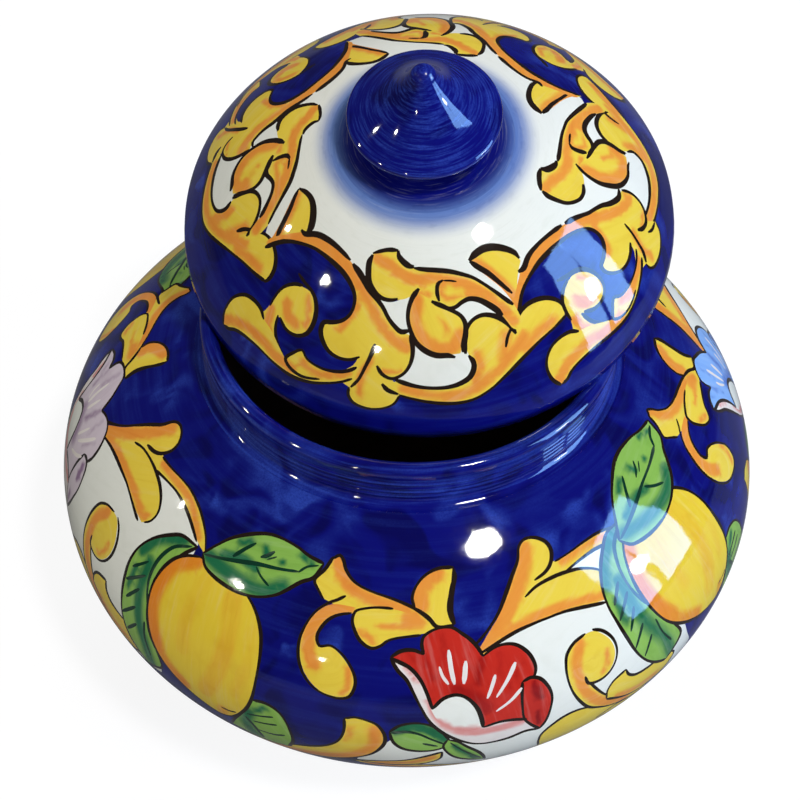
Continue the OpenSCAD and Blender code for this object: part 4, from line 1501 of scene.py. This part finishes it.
def painted_glaze(name, colours, stand=None, hairs=0.12):
    """Painted tin glaze: cobalt ground, pigments with brush marks and soft shading."""
    material, tree, shader = new_material(name)
    pigment, tone, brush, stroke = (
        add(tree, "ShaderNodeAttribute", attribute_name=name).outputs
        for name in ("pigment", "tone", "brush", "stroke"))
    place = object_place(tree, stand)
    marks = use(tree, brush_streaks(), {"Brush": brush["Vector"]})
    drag = use(tree, brush_streaks(), {"Brush": stroke["Vector"]})
    uneven = maths(tree, "MULTIPLY", maths(tree, "SUBTRACT", drag["Hairs"], 0.5), 0.6)
    wash = smooth_range(tree, maths(tree, "ADD", tone["Alpha"], uneven), 0.05, 1.0)
    some = smooth_range(tree, tone["Alpha"], 0.0, 0.15)
    shaded = mix(tree, maths(tree, "MULTIPLY", wash, some), pigment["Color"], tone["Color"])
    thin = smooth_range(tree, marks["Hairs"], 0.5, 0.78)
    light = mix(tree, maths(tree, "MULTIPLY", thin, 0.1), shaded, tuple(colours.white))
    thick = maths(tree, "MAXIMUM", smooth_range(tree, marks["Hairs"], 0.5, 0.25),
                  smooth_range(tree, marks["Pools"], 0.52, 0.75))
    rich = mix(tree, maths(tree, "MULTIPLY", thick, 0.2), light, shaded, "MULTIPLY")
    ground = cobalt_colour(tree, colours, place, fineness=240.0, clouds=0.8, hairs=hairs)
    both = mix(tree, pigment["Alpha"], rich, ground)
    finish_glaze(tree, shader, both, place)
    return material


def cobalt_glaze(name, colours, stand=None, fineness=420.0, clouds=0.5, hairs=0.6):
    """Tin glaze brushed all over with cobalt."""
    material, tree, shader = new_material(name)
    place = object_place(tree, stand)
    ground = cobalt_colour(tree, colours, place, fineness, clouds, hairs)
    finish_glaze(tree, shader, ground, place)
    return material


def plain_glaze(name, colour_value, roughness):
    """One glaze colour that breaks a little lighter and darker over the clay."""
    material, tree, shader = new_material(name)
    place = object_place(tree)
    cloud = noise(tree, place, 45.0, 4.0, 0.6)["Fac"]
    dark = tuple(c * 0.82 for c in colour_value)
    shade = mix(tree, smooth_range(tree, cloud, 0.35, 0.75), colour_value, dark)
    finish_glaze(tree, shader, shade, place, roughness)
    return material


def bare_clay(name, colours):
    """Fired clay with grog, speckled and matt."""
    material, tree, shader = new_material(name)
    place = object_place(tree)
    grog = noise(tree, place, 900.0, 4.0, 0.7)["Fac"]
    cloud = noise(tree, place, 60.0, 3.0)["Fac"]
    dark = tuple(c * 0.6 for c in colours.clay)
    fired = mix(tree, smooth_range(tree, cloud, 0.3, 0.8), colours.clay, dark)
    speckled = mix(tree, smooth_range(tree, grog, 0.55, 0.75), fired, dark)
    bump = add(tree, "ShaderNodeBump", {"Strength": 0.6, "Distance": 0.0003, "Height": grog})
    tree.links.new(speckled, shader.inputs["Base Color"])
    tree.links.new(bump.outputs["Normal"], shader.inputs["Normal"])
    shader.inputs["Roughness"].default_value = 0.85
    return material


def paint_box(colours):
    """The painter's pigments by name."""
    return {
        "ground": Paint(colours.cobalt, colours.cobalt_pale, 1.0),
        "white": Paint(colours.white, colours.petal_pink),
        "white_middle": Paint(colours.white, colours.halo),
        # The halo's cobalt tone, strongest next to the knob, is partly the painter's wash and
        # partly painted shade of the knob.
        "halo": Paint(colours.halo, colours.cobalt),
        "yellow": Paint(colours.yellow, colours.orange),
        "lemon": Paint(colours.lemon, colours.lemon_shade),
        "leaf": Paint(colours.leaf, colours.leaf_shade),
        "vein": Paint(colours.vein, colours.vein),
        "red": Paint(colours.red, colours.red_shade),
        "purple": Paint(colours.purple, colours.purple_shade),
        "sky": Paint(colours.sky, colours.sky_shade),
        "petal_white": Paint(colours.petal_white, colours.petal_pink),
        "ink": Paint(colours.ink, colours.ink),
    }


# ------------------------------------------------------------------ operators

class JarOperator(bpy.types.Operator):
    """Adds one piece of the jar."""

    bl_options = {"REGISTER", "UNDO"}

    @property
    def sizes(self):
        return bpy.context.scene.jar_sizes

    @property
    def colours(self):
        return bpy.context.scene.jar_colours

    def place(self, piece, node, body, slot):
        """Stands the piece in for its solid and on its body. slot is not used."""
        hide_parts(node)
        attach(piece, body)


class JAR_OT_belly(JarOperator):
    """Adds the belly, painted with lemons, flowers and scrolls"""

    bl_idname = "mesh.jar_belly"
    bl_label = "Belly"

    mm_per_degree, motif_top, motif_bottom, plain_from = 1.9, 15, 90, 110
    inside_roughness, under_foot = 0.3, 10

    def execute(self, context):
        pot = belly_pot(self.sizes)
        painting = Painting(pot, self.mm_per_degree, self.motif_top, self.motif_bottom)
        for motif in (belly_ground(), belly_garland(), right_scroll()):
            painting.paint(motif, GROUND_PLACES)
        painting.paint(lemon_branch(), LEMON_PLACES)
        *others, right = LEMON_PLACES
        painting.paint(top_leaf(), others)
        painting.paint(grown(top_leaf(), root=(-11, 11), long=1.15, wide=1.2), [right])
        painting.paint(left_scroll(), FLOWER_PLACES)
        painting.paint(small_leaves(), GROUND_PLACES)
        painting.paint(flower(), FLOWER_PLACES)
        root = (self.sizes.collar_root / MM, self.sizes.collar_bottom / MM)
        radius, height = self.sizes.foot_radius / MM, self.sizes.foot_height / MM
        piece = painted_shell(
            "painted_belly", pot, painting, paint_box(self.colours),
            start_cap=[*belly_hollow(self.sizes), root],
            end_cap=[(radius, height), (radius - self.under_foot, height), (0, height)],
            plain_from=self.plain_from, stand=Matrix.Identity(4),
            materials=[
                painted_glaze("painted_belly_glaze", self.colours),
                plain_glaze("inside_glaze", tuple(self.colours.inside), self.inside_roughness),
            ])
        self.place(piece, "jar_body", "jar", "painted_glaze")
        return {"FINISHED"}


class JAR_OT_collar(JarOperator):
    """Adds the ridged collar with its rolled lip"""

    bl_idname = "mesh.jar_collar"
    bl_label = "Neck collar"

    def execute(self, context):
        piece = turned_piece(
            "ridged_collar", collar_outline(self.sizes), segments=192, stand=Matrix.Identity(4))
        piece.data.materials.append(cobalt_glaze("collar_cobalt", self.colours))
        self.place(piece, "neck_collar", "jar", "cobalt_glaze")
        return {"FINISHED"}


class JAR_OT_foot(JarOperator):
    """Adds the foot ring with its bare standing edge"""

    bl_idname = "mesh.jar_foot"
    bl_label = "Foot ring"

    def execute(self, context):
        piece = turned_piece(
            "turned_foot", foot_outline(self.sizes), segments=144, stand=Matrix.Identity(4))
        piece.data.materials.append(bare_clay("foot_clay", self.colours))
        self.place(piece, "foot_ring", "jar", "foot_clay")
        return {"FINISHED"}


class JAR_OT_lid(JarOperator):
    """Adds the lid's dome, painted with scrolls round a blue halo"""

    bl_idname = "mesh.jar_lid"
    bl_label = "Lid dome"

    mm_per_degree, motif_top, motif_bottom, plain_from, press = 1.0, 40, 90, 95, 1.3

    def execute(self, context):
        lid = Lid(self.sizes)
        pot = lid.pot()
        painting = Painting(
            pot, self.mm_per_degree, self.motif_top, self.motif_bottom, self.press)
        lay_lid_middle(painting)
        painting.paint(lid_ground(), SCROLL_PLACES)
        painting.paint(lid_bowls(), SCROLL_PLACES)
        painting.paint(lid_tongues(), TONGUE_PLACES)
        painting.paint(lid_arches(), ARCH_PLACES)
        painting.paint(lid_leaves(), SCROLL_PLACES)
        piece = painted_shell(
            "painted_lid", pot, painting, paint_box(self.colours),
            start_cap=[(0, lid.land), (pot.r[0], pot.z[0])], end_cap=lid.underside(),
            plain_from=self.plain_from, stand=lid.stand,
            materials=[
                painted_glaze("painted_lid_glaze", self.colours, lid.stand, hairs=0.15),
                plain_glaze("lid_underside_glaze", tuple(self.colours.white), WHITE_ROUGHNESS),
            ])
        self.place(piece, "lid_dome", "lid", "painted_glaze")
        return {"FINISHED"}


class JAR_OT_locating_ring(JarOperator):
    """Adds the ring under the lid that keeps it in the mouth"""

    bl_idname = "mesh.jar_locating_ring"
    bl_label = "Locating ring"

    def execute(self, context):
        lid = Lid(self.sizes)
        piece = turned_piece(
            "turned_locating_ring", ring_outline(lid, self.sizes), segments=144, stand=lid.stand)
        piece.data.materials.append(
            plain_glaze("locating_ring_glaze", tuple(self.colours.white), WHITE_ROUGHNESS))
        self.place(piece, "lid_locating_ring", "lid", "white_glaze")
        return {"FINISHED"}


class JAR_OT_knob(JarOperator):
    """Adds the thrown knob with its drawn-up point"""

    bl_idname = "mesh.jar_knob"
    bl_label = "Knob"

    def execute(self, context):
        lid = Lid(self.sizes)
        piece = turned_piece(
            "thrown_knob", knob_outline(lid, self.sizes), segments=128, stand=lid.stand)
        piece.data.materials.append(cobalt_glaze(
            "knob_cobalt", self.colours, lid.stand, fineness=700.0, clouds=0.35, hairs=0.6))
        self.place(piece, "knob", "lid", "cobalt_glaze")
        return {"FINISHED"}


# ------------------------------------------------------------------ the stage

Lamp = namedtuple("Lamp", "name turn rise reach size watts tint lights")
WARM, SKY, PLAIN = (1.0, 0.98, 0.84), (0.24, 0.50, 1.0), (1.0, 0.99, 0.97)
LAMPS = (
    Lamp("key", 44.5, 63.0, 1.8, (0.25, 0.21), 18, PLAIN, "all"),
    Lamp("left", -55.0, 33.5, 4.0, (0.155, 0.155), 22, WARM, "all"),
    Lamp("far_left", -86.0, 33.0, 4.0, (0.13, 0.13), 15, WARM, "all"),
    Lamp("low_front", -22.0, 19.0, 4.0, (0.10, 0.10), 12, WARM, "all"),
    Lamp("window_left", 69.0, 20.0, 2.0, (0.40, 1.4), 23, SKY, "glossy"),
    Lamp("window_right", 83.0, 20.0, 2.0, (0.44, 1.4), 26, SKY, "glossy"),
    Lamp("window_sun", 74.5, 19.0, 1.9, (0.22, 0.26), 5, (1.0, 0.95, 0.90), "glossy"),
    Lamp("window_fill", 73.0, 18.0, 2.0, (0.9, 1.2), 33, (0.66, 0.80, 1.0), "diffuse"),
    Lamp("bounce", -15.0, -4.0, 1.0, (1.2, 0.12), 1.5, PLAIN, "diffuse"),
    Lamp("behind", 185.0, 34.0, 2.0, (1.0, 0.6), 14, (0.95, 0.97, 1.0), "diffuse"),
)
"""Each lamp's degrees round from the front and up, its reach and size in metres, its power and
tint, and whether it lights the glaze's gloss, its colour or both."""
LIT_MIDDLE = Vector((0, 0, 0.1))
"""The point that every lamp faces."""
ROUND_LAMP = 0.28
"""Lamps narrower than this in metres are round, and wider ones have corners."""


def soft_light(lamp):
    """One area lamp, facing the jar."""
    data = bpy.data.lights.new(lamp.name, "AREA")
    data.shape = "ELLIPSE" if lamp.size[0] < ROUND_LAMP else "RECTANGLE"
    data.size, data.size_y = lamp.size
    data.energy, data.color = lamp.watts, lamp.tint
    turn, rise = math.radians(lamp.turn), math.radians(lamp.rise)
    out = Vector((
        math.sin(turn) * math.cos(rise), -math.cos(turn) * math.cos(rise), math.sin(rise)))
    light = bpy.data.objects.new(lamp.name, data)
    light.location = LIT_MIDDLE + out * lamp.reach
    light.rotation_euler = (-out).to_track_quat("-Z", "Y").to_euler()
    light.visible_diffuse = lamp.lights != "glossy"
    light.visible_glossy = lamp.lights != "diffuse"
    bpy.context.scene.collection.objects.link(light)


CAMERA_REACH = 0.519
"""Distance in metres from the middle of the belly."""
CAMERA_RISE = math.radians(52.437)
CAMERA_ROLL = math.radians(1.138)
CAMERA_AIM = (-0.002902, 0.0, 0.09022)
CAMERA_LENS, CAMERA_SENSOR = 62.93, 36


class JAR_OT_stage(JarOperator):
    """Adds the floor, the studio light and the camera"""

    bl_idname = "mesh.jar_stage"
    bl_label = "Stage"

    def execute(self, context):
        self.floor()
        self.lights()
        self.camera()
        return {"FINISHED"}

    def floor(self):
        """A matt floor that the camera sees pale and the glaze hardly at all."""
        bpy.ops.object.select_all(action="DESELECT")
        bpy.ops.mesh.primitive_plane_add(size=8)
        floor = bpy.context.object
        floor.name = "studio_floor"
        material, tree, shader = new_material("studio_floor")
        grain = maths(tree, "MULTIPLY", noise(tree, object_place(tree), 300.0)["Fac"], 0.04)
        base = mix(tree, grain, tuple(self.colours.floor), (0.1, 0.1, 0.1))
        tree.links.new(base, shader.inputs["Base Color"])
        path = add(tree, "ShaderNodeLightPath").outputs
        faint = maths(tree, "MULTIPLY", path["Is Glossy Ray"], 0.03)
        seen = maths(tree, "MAXIMUM", faint, maths(
            tree, "MAXIMUM", path["Is Camera Ray"], path["Is Transmission Ray"]))
        glow = mix(tree, seen, (0, 0, 0), (0.88, 0.88, 0.88))
        tree.links.new(glow, shader.inputs["Emission Color"])
        shader.inputs["Emission Strength"].default_value = 1.0
        shader.inputs["Roughness"].default_value = 0.9
        floor.data.materials.append(material)

    def lights(self):
        """A dim room that the camera sees white, four small lamps, a cool window and two fills."""
        world = bpy.data.worlds.new("studio")
        world.use_nodes = True
        tree = world.node_tree
        sky = tree.nodes["Background"]
        seen = add(tree, "ShaderNodeLightPath").outputs["Is Camera Ray"]
        tree.links.new(mix(tree, seen, (0.05, 0.05, 0.06), (1, 1, 1)), sky.inputs["Color"])
        bpy.context.scene.world = world
        for lamp in LAMPS:
            soft_light(lamp)

    def camera(self):
        """A camera above the front, rolled a little, that looks down at the lid."""
        data = bpy.data.cameras.new("camera")
        data.lens, data.sensor_width = CAMERA_LENS, CAMERA_SENSOR
        camera = bpy.data.objects.new("camera", data)
        up = belly_middle(self.sizes) * MM
        place = Vector((
            0, -CAMERA_REACH * math.cos(CAMERA_RISE), up + CAMERA_REACH * math.sin(CAMERA_RISE)))
        aim = (Vector(CAMERA_AIM) - place).to_track_quat("-Z", "Y").to_matrix().to_4x4()
        camera.matrix_world = Matrix.Translation(place) @ aim @ Matrix.Rotation(CAMERA_ROLL, 4, "Z")
        bpy.context.scene.collection.objects.link(camera)
        bpy.context.scene.camera = camera
        bpy.context.scene.view_settings.view_transform = "Standard"


class JAR_PT_panel(bpy.types.Panel):
    """Lists the jar's sizes, colours and pieces"""

    bl_label = "Biscuit jar"
    bl_idname = "JAR_PT_panel"
    bl_space_type = "VIEW_3D"
    bl_region_type = "UI"
    bl_category = "Jar"

    def draw(self, context):
        for settings in (context.scene.jar_sizes, context.scene.jar_colours):
            box = self.layout.box()
            for name in settings.__annotations__:
                box.prop(settings, name)
        for piece in PIECES:
            self.layout.operator(piece.bl_idname)


PIECES = (
    JAR_OT_belly, JAR_OT_collar, JAR_OT_foot, JAR_OT_lid, JAR_OT_locating_ring, JAR_OT_knob,
    JAR_OT_stage,
)
CLASSES = (JarSizes, JarColours, *PIECES, JAR_PT_panel)


def register():
    for one in CLASSES:
        bpy.utils.register_class(one)
    bpy.types.Scene.jar_sizes = PointerProperty(type=JarSizes)
    bpy.types.Scene.jar_colours = PointerProperty(type=JarColours)


def unregister():
    del bpy.types.Scene.jar_sizes
    del bpy.types.Scene.jar_colours
    for one in reversed(CLASSES):
        bpy.utils.unregister_class(one)


def main():
    register()
    bpy.ops.mesh.jar_belly()
    bpy.ops.mesh.jar_collar()
    bpy.ops.mesh.jar_foot()
    bpy.ops.mesh.jar_lid()
    bpy.ops.mesh.jar_locating_ring()
    bpy.ops.mesh.jar_knob()
    bpy.ops.mesh.jar_stage()


if __name__ == "__main__":
    main()
